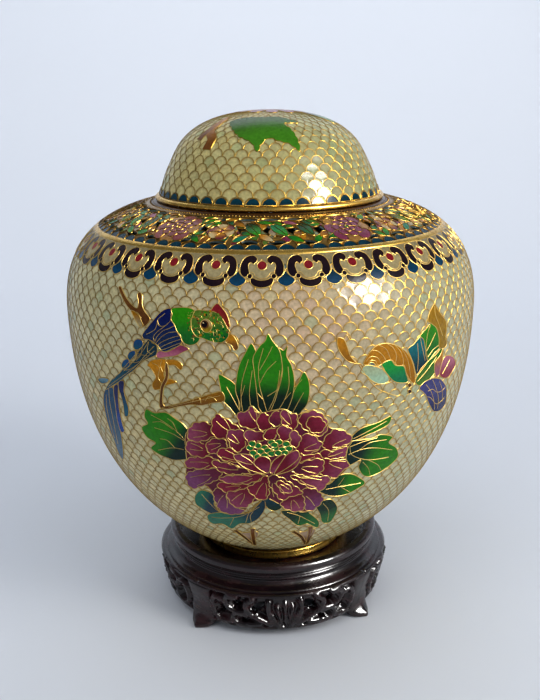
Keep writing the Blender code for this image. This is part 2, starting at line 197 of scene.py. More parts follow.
def read_off(profile, points, view):
    """Angle and v on a round piece of points read off an enlarged part of the photo."""
    left, top, zoom = view
    pixels = np.array([left, top]) + np.array(points, float) / zoom - PHOTO_MIDDLE
    across = pixels * CAMERA_SENSOR / CAMERA_LENS / PHOTO_HEIGHT
    rays = np.column_stack([across[:, 0], -across[:, 1], -np.ones(len(across))])
    rays = rays @ np.array(camera_turn()).T
    rays /= np.hypot(np.hypot(rays[:, 0], rays[:, 1]), rays[:, 2])[:, None]
    steps = np.arange(RAY_NEAR, RAY_FAR, RAY_STEP)
    spots = CAMERA_PLACE + steps[None, :, None] * rays[:, None, :]
    surface = np.interp(spots[..., 2], profile.z, profile.r, left=-1.0, right=-1.0)
    gap = np.hypot(spots[..., 0], spots[..., 1]) - surface
    first = np.argmax(gap <= 0, axis=1)
    rows = np.arange(len(first))
    before, after = gap[rows, first - 1], gap[rows, first]
    share = np.clip(before / np.maximum(before - after, TINY), 0, 1)
    reach = steps[first - 1] + share * (steps[first] - steps[first - 1])
    hit = CAMERA_PLACE + reach[:, None] * rays
    return np.arctan2(hit[:, 0], -hit[:, 1]), np.interp(hit[:, 2], profile.z, profile.v)


def on_jar(points, view):
    """Points read off the photo, as flat points on the jar's side."""
    angle, v = read_off(JAR, points, view)
    return np.column_stack([angle * JAR.radius(v), v])


def on_crown(points, view):
    """Points read off the photo, as flat points on the lid's top."""
    angle, v = read_off(LID, points, view)
    return plan(angle, LID.length - v)


def in_scene(name, data):
    """A new object for the data, linked to the scene."""
    item = bpy.data.objects.new(name, data)
    bpy.context.scene.collection.objects.link(item)
    return item


class Build:
    """Collects points, faces and colours for one mesh."""

    def __init__(self):
        self.points, self.faces, self.tones = [], [], []
        self.count = 0

    def add(self, points, faces, tones=None):
        """Adds a piece in mm, whose faces count from its own first point."""
        points = np.asarray(points, float).reshape(-1, 3)
        self.points.append(points)
        self.faces += [tuple(int(i) + self.count for i in face) for face in faces]
        if tones is not None:
            self.tones.append(np.broadcast_to(np.asarray(tones, float), points.shape))
        self.count += len(points)

    def mesh(self, name, finish):
        """The mesh in metres, with its colours and its material."""
        mesh = bpy.data.meshes.new(name)
        mesh.from_pydata((np.vstack(self.points) * MM).tolist(), [], self.faces)
        if self.tones:
            layer = mesh.color_attributes.new("tone", "FLOAT_COLOR", "POINT")
            data = np.ones((self.count, 4), np.float32)
            data[:, :3] = np.vstack(self.tones)
            layer.data.foreach_set("color", data.ravel())
        mesh.polygons.foreach_set("use_smooth", [True] * len(mesh.polygons))
        mesh.materials.append(finish)
        mesh.update()
        return mesh

    def make(self, name, finish, slot, nodes=()):
        """The visible piece, which rides on the pot and replaces solids."""
        item = in_scene(name, self.mesh(name, finish))
        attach(item, "root")
        if nodes:
            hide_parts(*nodes)
        return item


def grid_faces(rows, columns, closed=False):
    """Quads between rows of points; closed joins the last column to the first."""
    faces = []
    wide = columns if closed else columns - 1
    for i in range(rows - 1):
        for j in range(wide):
            k = (j + 1) % columns
            faces.append((i * columns + j, i * columns + k,
                          (i + 1) * columns + k, (i + 1) * columns + j))
    return faces


def turned(build, outline, steps=192, tone=None):
    """A closed (radius, height) outline turned about the axis; it runs up the outer side."""
    outline = np.array(outline, float)
    ring = plan(np.linspace(0.0, 2 * math.pi, steps, endpoint=False), 1.0)
    points = np.concatenate([
        ring[None, :, :] * outline[:, 0, None, None],
        np.broadcast_to(outline[:, 1, None, None], (len(outline), steps, 1))], -1)
    faces = [tuple(i % (len(outline) * steps) for i in face)
             for face in grid_faces(len(outline) + 1, steps, closed=True)]
    build.add(points, faces, tone)


def loop_edges(first, count):
    """Edges that close a loop of points, the first of which has the number first."""
    return [(first + k, first + (k + 1) % count) for k in range(count)]


def triangulated(points, edges, tolerance=1e-5):
    """The flat points joined to triangles that keep the edges and all face up."""
    verts, _, tris, *_ = delaunay_2d_cdt([Vector(p) for p in points], edges, [], 0, tolerance)
    verts = np.array([tuple(v) for v in verts])
    tris = np.array([t for t in tris if len(t) == 3])
    a, b, c = (verts[tris[:, k]] for k in range(3))
    over = np.cross(b - a, c - a) < 0
    tris[over] = tris[over][:, ::-1]
    return verts, tris


def inside(points, outline):
    """Which of the flat points lie inside a closed outline."""
    points, outline = np.asarray(points, float), np.asarray(outline, float)
    result = np.zeros(len(points), bool)
    low, high = outline.min(0), outline.max(0)
    near = np.nonzero(np.all((points >= low) & (points <= high), axis=1))[0]
    if not len(near):
        return result
    x, y = points[near, 0][:, None], points[near, 1][:, None]
    x0, y0 = outline[:, 0][None], outline[:, 1][None]
    x1, y1 = np.roll(x0, -1), np.roll(y0, -1)
    spans = (y0 > y) != (y1 > y)
    with np.errstate(divide="ignore", invalid="ignore"):
        cross = x < (x1 - x0) * (y - y0) / (y1 - y0) + x0
    result[near] = (np.sum(spans & cross, axis=1) % 2) == 1
    return result


def smooth_line(points, per_span=6, closed=False):
    """A soft curve through the given points."""
    points = np.array(points, float)
    n = len(points)
    if n < 3:
        t = np.linspace(0, 1, per_span + 1)[:, None]
        return points[0] * (1 - t) + points[-1] * t
    result = []
    for i in range(n if closed else n - 1):
        if closed:
            a, b, c, d = (points[(i + k) % n] for k in (-1, 0, 1, 2))
        else:
            b, c = points[i], points[i + 1]
            a = points[i - 1] if i else 2 * b - c
            d = points[i + 2] if i + 2 < n else 2 * c - b
        t = np.linspace(0, 1, per_span, endpoint=False)[:, None]
        result.append(0.5 * (2 * b + (c - a) * t + (2 * a - 5 * b + 4 * c - d) * t ** 2
                             + (3 * b - a - 3 * c + d) * t ** 3))
    if not closed:
        result.append(points[-1:])
    return np.vstack(result)


def sideways(points, closed=False):
    """Unit steps to the left of a line, at each of its points."""
    if closed:
        along = np.roll(points, -1, 0) - np.roll(points, 1, 0)
    else:
        along = np.gradient(points, axis=0)
    along /= np.maximum(np.hypot(along[:, 0], along[:, 1]), TINY)[:, None]
    return np.stack([-along[:, 1], along[:, 0]], -1)


def ribbon(build, place, points, width, base, top, closed=False):
    """A wire along flat points: a low rounded strip that rises from base to top."""
    points = np.asarray(points, float)
    keep = np.ones(len(points), bool)
    keep[1:] = np.hypot(*np.diff(points, axis=0).T) > 1e-4
    points = points[keep]
    if len(points) < 2:
        return
    side = sideways(points, closed) * (width / 2)
    flank = 0.72 * top + 0.28 * base
    section = [(1.0, base), (0.62, flank), (0.0, top), (-0.62, flank), (-1.0, base)]
    rows = [place(points + side * share, lift) for share, lift in section]
    build.add(np.concatenate(rows), grid_faces(len(rows), len(points), closed))


Field = namedtuple("Field", "outline first second start end wire mid")


class Picture:
    """Enamel fields drawn flat, later ones over earlier ones, with wires round them."""

    def __init__(self, step=1.6):
        self.fields, self.lines = [], []
        self.step = step

    def field(self, outline, first, second=None, start=None, end=None, wire=0.32, mid=0.5):
        """One field. Its colour runs from first at start to second at end."""
        outline = np.array(outline, float)
        second = first if second is None else second
        start = outline.min(0) if start is None else np.array(start, float)
        end = outline.max(0) if end is None else np.array(end, float)
        self.fields.append(Field(outline, first, second, start, end, wire, mid))

    def hole(self, outline, wire):
        """An opening: no enamel, a wire round it."""
        self.fields.append(Field(np.array(outline, float), None, None, None, None, wire, 0.5))

    def line(self, points, width):
        """A wire that later fields cover."""
        self.lines.append((np.array(points, float), width, len(self.fields)))

    def covers(self, points):
        """Which of the flat points some field covers."""
        hit = np.zeros(len(points), bool)
        for field in self.fields:
            hit |= inside(points, field.outline)
        return hit

    def lay(self, enamel, wires, places, base=CELL, patch=PATCH, top=WIRE_TOP):
        """Builds the enamel fields and the wires, once for each way of placing them."""
        verts, tris, owner = self._mesh()
        for k, field in enumerate(self.fields):
            mine = tris[owner == k]
            if field.first is None or not len(mine):
                continue
            used, index = np.unique(mine, return_inverse=True)
            flat = verts[used]
            tone = self._blend(field, flat)
            for place in places:
                enamel.add(place(flat, patch), index.reshape(mine.shape), tone)
        for place in places:
            for k, field in enumerate(self.fields):
                if field.wire:
                    closed = np.vstack([field.outline, field.outline[:1]])
                    self._wire(wires, place, closed, field.wire, k + 1, base, top)
            for points, width, order in self.lines:
                self._wire(wires, place, points, width, order, base, top - VEIN_DROP)

    def _mesh(self):
        """Triangles over all fields, and the number of the topmost field of each."""
        points, edges = [], []
        for field in self.fields:
            edges += loop_edges(len(points), len(field.outline))
            points += [tuple(p) for p in field.outline]
        cloud = np.array(points)
        low, high = cloud.min(0), cloud.max(0)
        xs = np.arange(low[0], high[0], self.step)
        ys = np.arange(low[1], high[1], self.step)
        mesh = np.stack(np.meshgrid(xs, ys), -1)
        mesh[1::2, :, 0] += self.step / 2
        free = mesh.reshape(-1, 2)
        free = free[self.covers(free)]
        free = free + RNG.uniform(-0.02, 0.02, free.shape)
        points += [tuple(p) for p in free]
        verts, tris = triangulated(points, edges)
        centre = verts[tris].mean(1)
        owner = np.full(len(tris), -1)
        for k, field in enumerate(self.fields):
            owner[inside(centre, field.outline)] = k
        return verts, tris, owner

    def _blend(self, field, flat):
        """The colours of a field's points, from its first colour to its second."""
        along = field.end - field.start
        t = (flat - field.start) @ along / max(along @ along, TINY)
        t = np.clip((t - field.mid) * 1.3 + 0.5, 0, 1)
        t = (t * t * (3 - 2 * t))[:, None]
        return field.first * (1 - t) + field.second * t

    def _wire(self, wires, place, points, width, order, base, top):
        """Lays the parts of a wire that no later field covers."""
        hidden = np.zeros(len(points), bool)
        for field in self.fields[order:]:
            hidden |= inside(points, field.outline)
        run = []
        for point, gone in zip(points, hidden):
            if gone:
                if len(run) > 1:
                    ribbon(wires, place, run, width, base, top)
                run = []
            else:
                run.append(point)
        if len(run) > 1:
            whole = len(run) == len(points) and np.allclose(run[0], run[-1])
            ribbon(wires, place, run[:-1] if whole else run, width, base, top, closed=whole)


def polar(base, degrees, reach):
    """The flat point at a distance and a direction from base."""
    turn = math.radians(degrees)
    return np.array(base) + reach * np.array([math.cos(turn), math.sin(turn)])


def blade(base, tip, width, shape="leaf", bend=0.0, notch=0.0):
    """A leaf or petal from base to tip, with its width across and its bend."""
    base, tip = np.array(base, float), np.array(tip, float)
    along = tip - base
    length = math.hypot(*along)
    ahead = along / length
    side = np.array([-ahead[1], ahead[0]])
    t = np.linspace(0, 1, 14)
    if shape == "leaf":
        half = np.sin(np.pi * t ** 0.85) ** 0.9
    else:
        half = np.minimum(1.0, (0.12 + 0.88 * np.sin(np.pi / 2 * np.clip(t / 0.7, 0, 1))))
        half = half * np.sqrt(np.clip(1 - (np.clip(t - 0.62, 0, 1) / 0.38) ** 2.4, 0, 1))
    half = half * width / 2
    mid = base + along * t[:, None] + side * (bend * length * np.sin(np.pi * t))[:, None]
    left = mid + side * half[:, None]
    right = mid - side * half[:, None]
    outline = np.vstack([right, left[::-1][1:-1]])
    if notch:
        across = np.abs((outline - tip) @ side) / (width / 2)
        near = np.exp(-((across - 0.36) / 0.16) ** 2)
        reach = np.clip(((outline - base) @ ahead / length - 0.72) / 0.16, 0, 1)
        outline = outline - ahead * (notch * length * near * reach)[:, None]
    return outline


def toothed(points, pitch, depth):
    """A leaf's or petal's soft outline with small teeth along its edge."""
    outline = soft(points)
    closed = np.vstack([outline, outline[:1]])
    steps = np.hypot(*np.diff(closed, axis=0).T)
    total = np.concatenate([[0], np.cumsum(steps)])
    teeth = max(int(total[-1] / pitch), 4)
    t = np.linspace(0, total[-1], teeth * 5, endpoint=False)
    ring = np.stack([np.interp(t, total, closed[:, k]) for k in (0, 1)], -1)
    area = np.sum(ring[:, 0] * np.roll(ring[:, 1], -1) - ring[:, 1] * np.roll(ring[:, 0], -1))
    out = -sideways(ring, closed=True) * np.sign(area)
    wave = np.abs(np.sin(np.pi * teeth * t / total[-1]))
    return ring + out * (depth * (wave - 0.7))[:, None]


def soft(points):
    """A closed outline rounded through its points."""
    return smooth_line(points, 5, closed=True)


def stroke(points, width):
    """The outline of a twig or stem drawn along points; it thins towards its end."""
    line = smooth_line(points, 5)
    half = np.linspace(1.0, 0.7, len(line))[:, None] * width / 2
    side = sideways(line) * half
    return np.vstack([line + side, (line - side)[::-1]])


def disc(centre, radius, count=14, squash=1.0):
    """A round outline, or one lowered by squash."""
    t = np.linspace(0, 2 * math.pi, count, endpoint=False)
    return np.stack([centre[0] + radius * np.cos(t), centre[1] + radius * squash * np.sin(t)], -1)


def mirror(points):
    """An outline turned left to right, with its points in the same turning order."""
    return np.array(points, float)[::-1] * (-1.0, 1.0)


def scale_template():
    """A scale's points in shares of its size, its faces and how many points its rim has."""
    quarter = np.linspace(0, math.pi / 2, 4)
    right = np.stack([0.5 - 0.5 * np.cos(quarter), np.sin(quarter) - 1], -1)
    top = np.stack([0.5 * np.cos(SCALE_ARCH), np.sin(SCALE_ARCH)], -1)[1:]
    left = np.stack([0.5 * np.cos(quarter) - 0.5, np.sin(quarter) - 1], -1)[::-1][1:-1]
    rim = np.vstack([right, top, left])
    middle = (0.0, 0.05)
    template = np.vstack([rim, (rim - middle) * 0.66 + middle, [middle]])
    count = len(rim)
    faces = grid_faces(2, count, closed=True)
    faces += [(a, b, 2 * count) for a, b in loop_edges(count, count)]
    return template, faces, count


def scale_colours(shade, angle, rim):
    """A scale's colours: an amber edge that fades towards the sides as a painted sheen, and a paler
    middle.
    """
    # Painted sheen: the amber share falls away from the front, as the slanting glaze on the sides shows a
    # pale grey sheen.
    warm = 0.30 + 0.30 * math.exp(-((wrapped(angle) + 0.15) / 0.7) ** 2)
    edge = shade * (0.84 - warm) + AMBER_EDGE * warm
    return np.vstack([np.repeat(edge[None], rim, 0), np.repeat(shade[None] * 0.98, rim, 0),
                      shade[None] * 1.06])


def scale_arches(profile, base, rise, step, angles, tall):
    """The wires over the tops of a row of scales, each as three lines of points."""
    radius = float(profile.radius(base))
    arch = np.stack([0.5 * np.cos(SCALE_ARCH) * step * radius, np.sin(SCALE_ARCH) * rise], -1)
    side = sideways(arch) * SCALE_WIRE_WIDTH / 2
    lines = []
    for share, lift in ((1, CELL - 0.02), (0, SCALE_WIRE), (-1, CELL - 0.02)):
        line = arch + side * share
        spot = angles[:, None] + line[None, :, 0] / radius
        height = base + line[None, :, 1] * tall
        lines.append(profile.ring(spot, np.clip(height, 0, profile.length), lift))
    return np.stack(lines, 1)


def fish_scales(profile, count, start, stop, rise, hidden, cells, wires, tone):
    """Rows of scale cells round a piece, and the wires over their tops."""
    template, faces, rim = scale_template()
    arch_faces = grid_faces(3, len(SCALE_ARCH))
    lift = np.full(len(template), CELL)
    lift[rim:] += CELL_DIP * 0.75
    lift[-1] = CELL + CELL_DIP
    step = 2 * math.pi / count
    for row in range(int((stop - start) / rise)):
        base = start + row * rise
        angles = (np.arange(count) + 0.5 * (row % 2)) * step - math.pi
        angles = angles + RNG.uniform(-0.025, 0.025, count) * step
        tall = RNG.uniform(0.94, 1.05, count)[:, None]
        angle = angles[:, None] + template[None, :, 0] * step
        up = template[None, :, 1] * np.where(template[None, :, 1] > 0, tall, 1.0)
        v = base + up * rise
        gone = hidden(angle[:, :rim].ravel(), v[:, :rim].ravel()).reshape(count, -1)
        kept = np.nonzero(~gone.all(1))[0]
        points = profile.ring(angle, np.clip(v, 0, profile.length), lift[None, :])
        shades = tone(angles, base)
        for k in kept:
            cells.add(points[k], faces, scale_colours(shades[k], angles[k], rim))
        arches = scale_arches(profile, base, rise, step, angles, tall)
        for k in kept:
            wires.add(arches[k], arch_faces)


def band(build, profile, rows):
    """A strip all round a piece, through rows of (v, lift)."""
    steps = 240
    angles = np.linspace(-math.pi, math.pi, steps, endpoint=False)
    points = np.stack([profile.ring(angles, np.full(steps, v), lift) for v, lift in rows])
    build.add(points, grid_faces(len(rows), steps, closed=True))


# Parts of the photo, enlarged: left and top edge in photo pixels, and the enlargement.
# The outlines of the picture are read off them and laid on the pot by on_jar and
# on_crown. Each shape is its outline and its two colours, top one first. A shape without
# colours is a wire.
BIRD_VIEW = (95, 285, 8.473)
BUTTERFLY_VIEW = (330, 290, 10.453)
FLOWER_VIEW = (130, 330, 5.407)
LID_VIEW = (155, 100, 6.672)
LID_LEAF = [
    (495, 155), (520, 130), (620, 110), (720, 108), (800, 105), (870, 115), (960, 145), (860, 150),
    (900, 180), (950, 250), (970, 340), (900, 290), (830, 270), (760, 250), (710, 290), (680, 345),
    (640, 280), (560, 240), (520, 200),
]

BIRD = [
    ([(195, 20), (215, 15), (250, 90), (300, 160), (348, 195), (362, 150), (355, 80), (375, 60),
     (395, 90), (395, 170), (420, 230), (460, 290), (420, 350), (395, 320), (360, 240), (300, 215),
     (250, 150), (215, 80)], BROWN, BROWN * 0.7),
    ([(300, 215), (360, 250), (395, 330), (385, 365), (350, 320)], AMBER * 0.6, CREAM * 0.5),
    ([(75, 900), (110, 870), (150, 880), (160, 960), (180, 1060), (200, 1170), (215, 1260), (232, 1380),
     (235, 1480), (200, 1440), (160, 1330), (110, 1200), (80, 1080), (65, 980)],
     TURQUOISE * 0.25 + BLUE * 0.2, SLATE * 0.5 + BLUE * 0.15),
    ([(155, 860), (190, 850), (192, 960), (205, 1080), (230, 1190), (245, 1240), (215, 1245), (185, 1150),
     (168, 1020), (155, 930)], NAVY, BLUE),
    ([(195, 820), (240, 820), (240, 900), (260, 980), (280, 1050), (275, 1110), (245, 1110), (235, 1030),
     (215, 940), (195, 880)], NAVY, TEAL),
    ([(20, 800), (60, 788), (110, 800), (95, 830), (50, 835)], SLATE, TEAL),
    ([(110, 880), (120, 1000), (150, 1150), (190, 1350)],),
    ([(90, 930), (95, 1040), (120, 1160), (160, 1300)],),
    ([(395, 520), (450, 465), (480, 490), (520, 520), (515, 590), (450, 625), (400, 650), (330, 720),
     (260, 770), (200, 820), (120, 870), (85, 885), (130, 810), (200, 750), (230, 715), (280, 680),
     (330, 640), (360, 570)], DEEP_TEAL, TEAL * 0.8),
    ([(400, 480), (360, 458), (325, 480), (318, 530), (350, 552), (395, 525)],
     BLUE * 0.45 + TURQUOISE * 0.2, TURQUOISE * 0.4),
    ([(335, 560), (290, 568), (270, 605), (290, 640), (330, 615)],
     BLUE * 0.45 + TURQUOISE * 0.2, TURQUOISE * 0.4),
    ([(275, 630), (238, 640), (218, 680), (240, 712), (290, 682)],
     BLUE * 0.45 + TURQUOISE * 0.2, TURQUOISE * 0.4),
    ([(450, 480), (400, 560), (330, 640), (240, 730)],),
    ([(495, 520), (420, 600), (340, 690), (220, 780), (110, 860)],),
    ([(500, 560), (420, 625), (320, 700)],),
    ([(395, 520), (385, 590), (345, 640)],),
    ([(330, 560), (380, 590), (440, 600)],),
    ([(285, 645), (330, 660), (370, 650)],),
    ([(450, 480), (440, 560), (480, 590)],),
    ([(230, 720), (280, 720), (320, 700)],),
    ([(400, 520), (330, 600), (250, 690), (150, 800)],),
    ([(512, 600), (540, 560), (600, 570), (660, 545), (720, 510), (792, 545), (740, 572), (680, 602),
     (600, 612), (540, 622)], MAUVE, PINK),
    ([(395, 425), (430, 370), (480, 310), (530, 250), (580, 210), (640, 200), (640, 260), (640, 300),
     (670, 340), (690, 400), (720, 440), (730, 490), (700, 520), (650, 540), (600, 565), (560, 560),
     (530, 520), (500, 490), (450, 465), (408, 458)], NAVY, NAVY * 0.6 + DEEP_TEAL * 0.5),
    ([(430, 420), (500, 380), (520, 330), (530, 290), (590, 240)],),
    ([(525, 300), (540, 345), (590, 345), (640, 300)],),
    ([(500, 480), (490, 440), (520, 400), (560, 370), (590, 345)],),
    ([(670, 345), (620, 370), (570, 390), (520, 440), (505, 480)],),
    ([(690, 398), (620, 405), (560, 440), (515, 490)],),
    ([(715, 430), (640, 450), (570, 480), (525, 510)],),
    ([(725, 460), (650, 485), (580, 515), (540, 535)],),
    ([(728, 490), (660, 515), (600, 540), (560, 552)],),
    ([(440, 680), (480, 640), (560, 630), (598, 640), (595, 700), (580, 760), (600, 810), (575, 850),
     (560, 880), (500, 890), (480, 840), (510, 790), (490, 740), (460, 700)], AMBER * 1.1, AMBER * 0.6),
    ([(480, 660), (540, 700), (530, 780), (560, 840)],),
    ([(560, 640), (550, 690), (575, 740)],),
    ([(600, 640), (680, 638), (735, 680), (722, 722), (670, 682), (620, 682)], AMBER, AMBER * 0.7),
    ([(600, 808), (640, 800), (685, 828), (620, 848), (580, 850)], AMBER, AMBER * 0.7),
    ([(600, 660), (618, 720), (612, 800), (580, 870), (568, 960), (572, 1010), (592, 1042), (560, 1052),
     (540, 1020), (545, 940), (555, 860), (590, 780), (588, 710)], BROWN, BROWN * 0.6),
    ([(560, 1045), (620, 1028), (700, 1010), (800, 980), (900, 950), (1000, 920), (1070, 908),
     (1098, 960), (1080, 992), (1000, 1002), (900, 1022), (800, 1018), (700, 1034), (620, 1052)],
     AMBER * 0.5, BROWN * 0.8),
    ([(620, 1040), (760, 1005), (900, 975), (1060, 940)],),
    ([(820, 995), (845, 955), (885, 965), (895, 1005)],),
    ([(930, 985), (960, 950), (1000, 960), (1030, 985)],),
    ([(645, 200), (720, 190), (800, 195), (850, 230), (830, 270), (820, 330), (830, 390), (880, 440),
     (880, 470), (850, 500), (800, 512), (760, 500), (730, 470), (720, 430), (690, 390), (670, 340),
     (640, 290), (650, 250)], BRIGHT_GREEN, LEAF_GREEN),
    ([(1110, 450), (1150, 420), (1190, 460), (1212, 530), (1182, 557), (1150, 510), (1110, 490)],
     AMBER, BROWN),
    ([(980, 215), (1010, 170), (1040, 158), (1080, 200), (1120, 260), (1142, 350), (1118, 355),
     (1080, 290), (1040, 245), (1000, 230)], MAROON, MAROON * 0.8 + AMBER * 0.1),
    ([(850, 215), (920, 215), (1000, 225), (1060, 260), (1100, 330), (1130, 400), (1120, 450),
     (1070, 490), (1000, 482), (950, 470), (900, 450), (860, 440), (820, 390), (810, 320), (825, 260)],
     OLIVE, LEAF_GREEN),
    ([(1035, 100), (1048, 130), (1045, 160)],),
]
BIRD_HEAD = [
    (790, 230), (850, 215), (920, 215), (1000, 225), (1060, 260), (1100, 330), (1130, 400), (1120, 450),
    (1070, 490), (1000, 482), (950, 470), (900, 450), (830, 460), (790, 390), (780, 300),
]
BIRD_EYE = [
    (888, 345), (898, 308), (938, 288), (978, 315), (988, 358), (962, 400), (918, 395),
]


BIRD_EYE_LOOK = (CREAM * 0.5 + AMBER * 0.3, OLIVE * 0.6 + AMBER * 0.5)
# Coloured specks and small hooked wires on the bird's head.
HEAD_SPECKS, HEAD_HOOKS = 230, 34


def draw_shapes(art, shapes, view, edge, vein):
    """Draws a list of shapes with wires of the given widths."""
    for points, *look in shapes:
        flat = on_jar(points, view)
        if look:
            middle = flat[:, 0].mean()
            high, low = flat[:, 1].max() - 1.0, flat[:, 1].min() + 1.0
            art.field(soft(flat), *look, (middle, high), (middle, low), edge)
        else:
            art.line(smooth_line(flat), vein)


def draw_bird(art):
    """The bird, with the specks and hooks on its head and its eye."""
    draw_shapes(art, BIRD, BIRD_VIEW, 0.28, 0.24)
    head = soft(on_jar(BIRD_HEAD, BIRD_VIEW))
    pupil = on_jar(BIRD_EYE, BIRD_VIEW).mean(0)
    for _ in range(HEAD_SPECKS):
        spot = polar(pupil, RNG.uniform(0, 360), RNG.uniform(1.8, 8.0))
        tint = (AMBER, OLIVE * 1.5, DEEP_GREEN, BROWN, BRIGHT_GREEN, OLIVE)[RNG.integers(6)]
        if inside([spot], head)[0] and math.hypot(*(spot - pupil)) > 2.4:
            art.field(disc(spot, RNG.uniform(0.20, 0.40), 7), tint, wire=0)
    for _ in range(HEAD_HOOKS):
        spot = polar(pupil, RNG.uniform(0, 360), RNG.uniform(2.6, 7.0))
        if inside([spot], head)[0]:
            first = RNG.uniform(0, 360)
            ends = [polar(spot, first, 0.8), spot, polar(spot, first + RNG.uniform(90, 200), 0.8)]
            art.line(smooth_line(ends, 3), 0.17)
    draw_shapes(art, [(BIRD_EYE, *BIRD_EYE_LOOK)], BIRD_VIEW, 0.28, 0.24)
    for place, radius, count, tint in (((-0.4, 0.3), 1.35, 14, BROWN * 0.8),
                                       ((-0.55, 0.35), 1.0, 14, INK * 0.6),
                                       ((-0.9, 0.8), 0.24, 7, CREAM)):
        art.field(disc(pupil + place, radius, count), tint, wire=0)


# The peony's leaves: outline, look, and the places where the dark foot and the bright
# tip are. A leaf's veins follow it.
LEAVES = [
    ([(478, 245), (520, 262), (560, 290), (590, 330), (592, 400), (602, 450), (585, 478), (545, 430),
     (500, 380), (488, 320)], "crown", (590, 440), (520, 310)),
    ([(598, 450), (560, 380), (520, 310)],),
    ([(590, 430), (585, 380), (570, 330)],),
    ([(655, 75), (685, 130), (705, 200), (700, 290), (712, 400), (700, 458), (602, 455), (592, 400),
     (570, 330), (575, 260), (590, 190), (620, 130)], "crown", (620, 430), (640, 260)),
    ([(610, 450), (600, 380), (605, 280), (640, 160)],),
    ([(655, 440), (645, 340), (660, 220)],),
    ([(602, 360), (620, 300)],),
    ([(940, 230), (965, 270), (972, 330), (960, 400), (930, 440), (900, 478), (858, 485), (860, 400),
     (880, 330), (910, 285)], "crown", (880, 450), (930, 320)),
    ([(850, 400), (880, 350), (905, 300), (930, 270)],),
    ([(870, 470), (900, 410), (940, 340)],),
    ([(800, 95), (830, 112), (852, 88), (846, 140), (872, 190), (888, 260), (885, 330), (870, 390),
     (840, 450), (790, 465), (740, 462), (780, 380), (810, 300), (825, 220), (815, 150)],
     "crown", (830, 430), (850, 250)),
    ([(790, 455), (835, 380), (860, 300), (855, 200)],),
    ([(835, 380), (870, 340)],),
    ([(745, 22), (770, 60), (802, 100), (818, 150), (822, 220), (805, 300), (785, 380), (742, 462),
     (700, 430), (690, 380), (680, 300), (670, 220), (665, 150), (700, 90), (730, 60)],
     "crown", (740, 430), (745, 270)),
    ([(742, 450), (722, 385), (700, 300), (695, 200), (720, 100)],),
    ([(720, 380), (690, 345)],),
    ([(745, 445), (780, 370), (800, 300), (810, 220)],),
    ([(742, 360), (790, 330), (812, 300)],),
    ([(700, 290), (740, 220), (790, 170)],),
    ([(700, 220), (740, 150), (770, 90)],),
    ([(85, 430), (130, 450), (190, 448), (240, 480), (285, 512), (312, 555), (295, 600), (342, 660),
     (345, 692), (300, 702), (240, 706), (190, 690), (150, 672), (110, 640), (135, 612), (90, 582),
     (60, 530), (92, 508), (75, 470)], "side", (320, 650), (200, 560)),
    ([(330, 650), (270, 570), (190, 505), (110, 460)],),
    ([(290, 600), (220, 560), (130, 530)],),
    ([(320, 655), (230, 640), (150, 652)],),
    ([(255, 560), (230, 505), (200, 480)],),
    ([(240, 640), (200, 600), (160, 590)],),
    ([(230, 540), (170, 500), (120, 500)],),
    ([(1200, 582), (1240, 542), (1290, 520), (1350, 500), (1412, 468), (1402, 510), (1340, 547),
     (1280, 572), (1210, 602)], "side", (1210, 590), (1300, 540)),
    ([(1210, 590), (1290, 550), (1390, 495)],),
    ([(1140, 695), (1190, 612), (1250, 598), (1310, 588), (1360, 568), (1422, 580), (1402, 612),
     (1442, 640), (1452, 682), (1422, 722), (1370, 762), (1310, 792), (1265, 790), (1238, 745),
     (1250, 705), (1190, 735), (1155, 735)], "side", (1190, 670), (1330, 690)),
    ([(1150, 690), (1250, 650), (1330, 640), (1420, 650)],),
    ([(1190, 635), (1260, 608), (1340, 585)],),
    ([(1190, 635), (1205, 680), (1290, 705), (1400, 690)],),
    ([(1230, 660), (1300, 612), (1390, 595)],),
    ([(1260, 715), (1290, 750), (1300, 785)],),
    ([(1290, 705), (1340, 730), (1360, 760)],),
    ([(1010, 850), (1080, 835), (1130, 792), (1190, 780), (1240, 800), (1272, 830), (1230, 862),
     (1170, 892), (1110, 902), (1050, 890)], "side", (1060, 860), (1190, 840)),
    ([(1060, 865), (1140, 850), (1250, 830)],),
    ([(1120, 855), (1160, 800)],),
    ([(1140, 850), (1190, 880)],),
    ([(1040, 930), (1090, 920), (1122, 960), (1112, 1000), (1082, 1042), (1042, 1045), (1028, 1000),
     (1010, 960)], "lower", (1040, 950), (1080, 1010)),
    ([(1045, 940), (1075, 980), (1070, 1035)],),
    ([(350, 902), (380, 870), (430, 880), (455, 910), (455, 950), (485, 1000), (430, 992), (380, 965),
     (352, 940)], "sea", (450, 940), (390, 920)),
    ([(470, 980), (420, 930), (385, 890)],),
    ([(720, 905), (760, 888), (805, 900), (822, 960), (782, 982), (742, 965)],
     "dark", (770, 900), (770, 970)),
    ([(420, 1002), (480, 990), (560, 1000), (640, 990), (690, 950), (722, 918), (732, 960), (712, 1002),
     (682, 1032), (640, 1050), (592, 1052), (550, 1078), (500, 1052), (450, 1052), (422, 1032)],
     "sea", (680, 980), (560, 1040)),
    ([(625, 1045), (640, 1000), (668, 962), (710, 930)],),
    ([(700, 960), (600, 1010), (500, 1020), (440, 1015)],),
    ([(560, 1020), (540, 1060)],),
    ([(655, 1040), (650, 1010), (665, 985)],),
    ([(815, 985), (870, 978), (920, 968), (980, 1000), (1022, 1040), (1012, 1072), (960, 1052),
     (910, 1062), (868, 1032)], "lower", (850, 990), (960, 1040)),
    ([(850, 990), (920, 1010), (1000, 1050)],),
    ([(920, 1010), (910, 1050)],),
]
LEAF_LOOKS = {
    "crown": (DEEP_GREEN * 0.45, BRIGHT_GREEN * 0.8),
    "side": (DEEP_GREEN * 0.5 + DEEP_TEAL * 0.15, BRIGHT_GREEN * 0.75),
    "lower": (DEEP_GREEN, LEAF_GREEN),
    "sea": (DEEP_TEAL, SEA_GREEN * 0.8),
    "dark": (DEEP_TEAL, DEEP_GREEN),
}
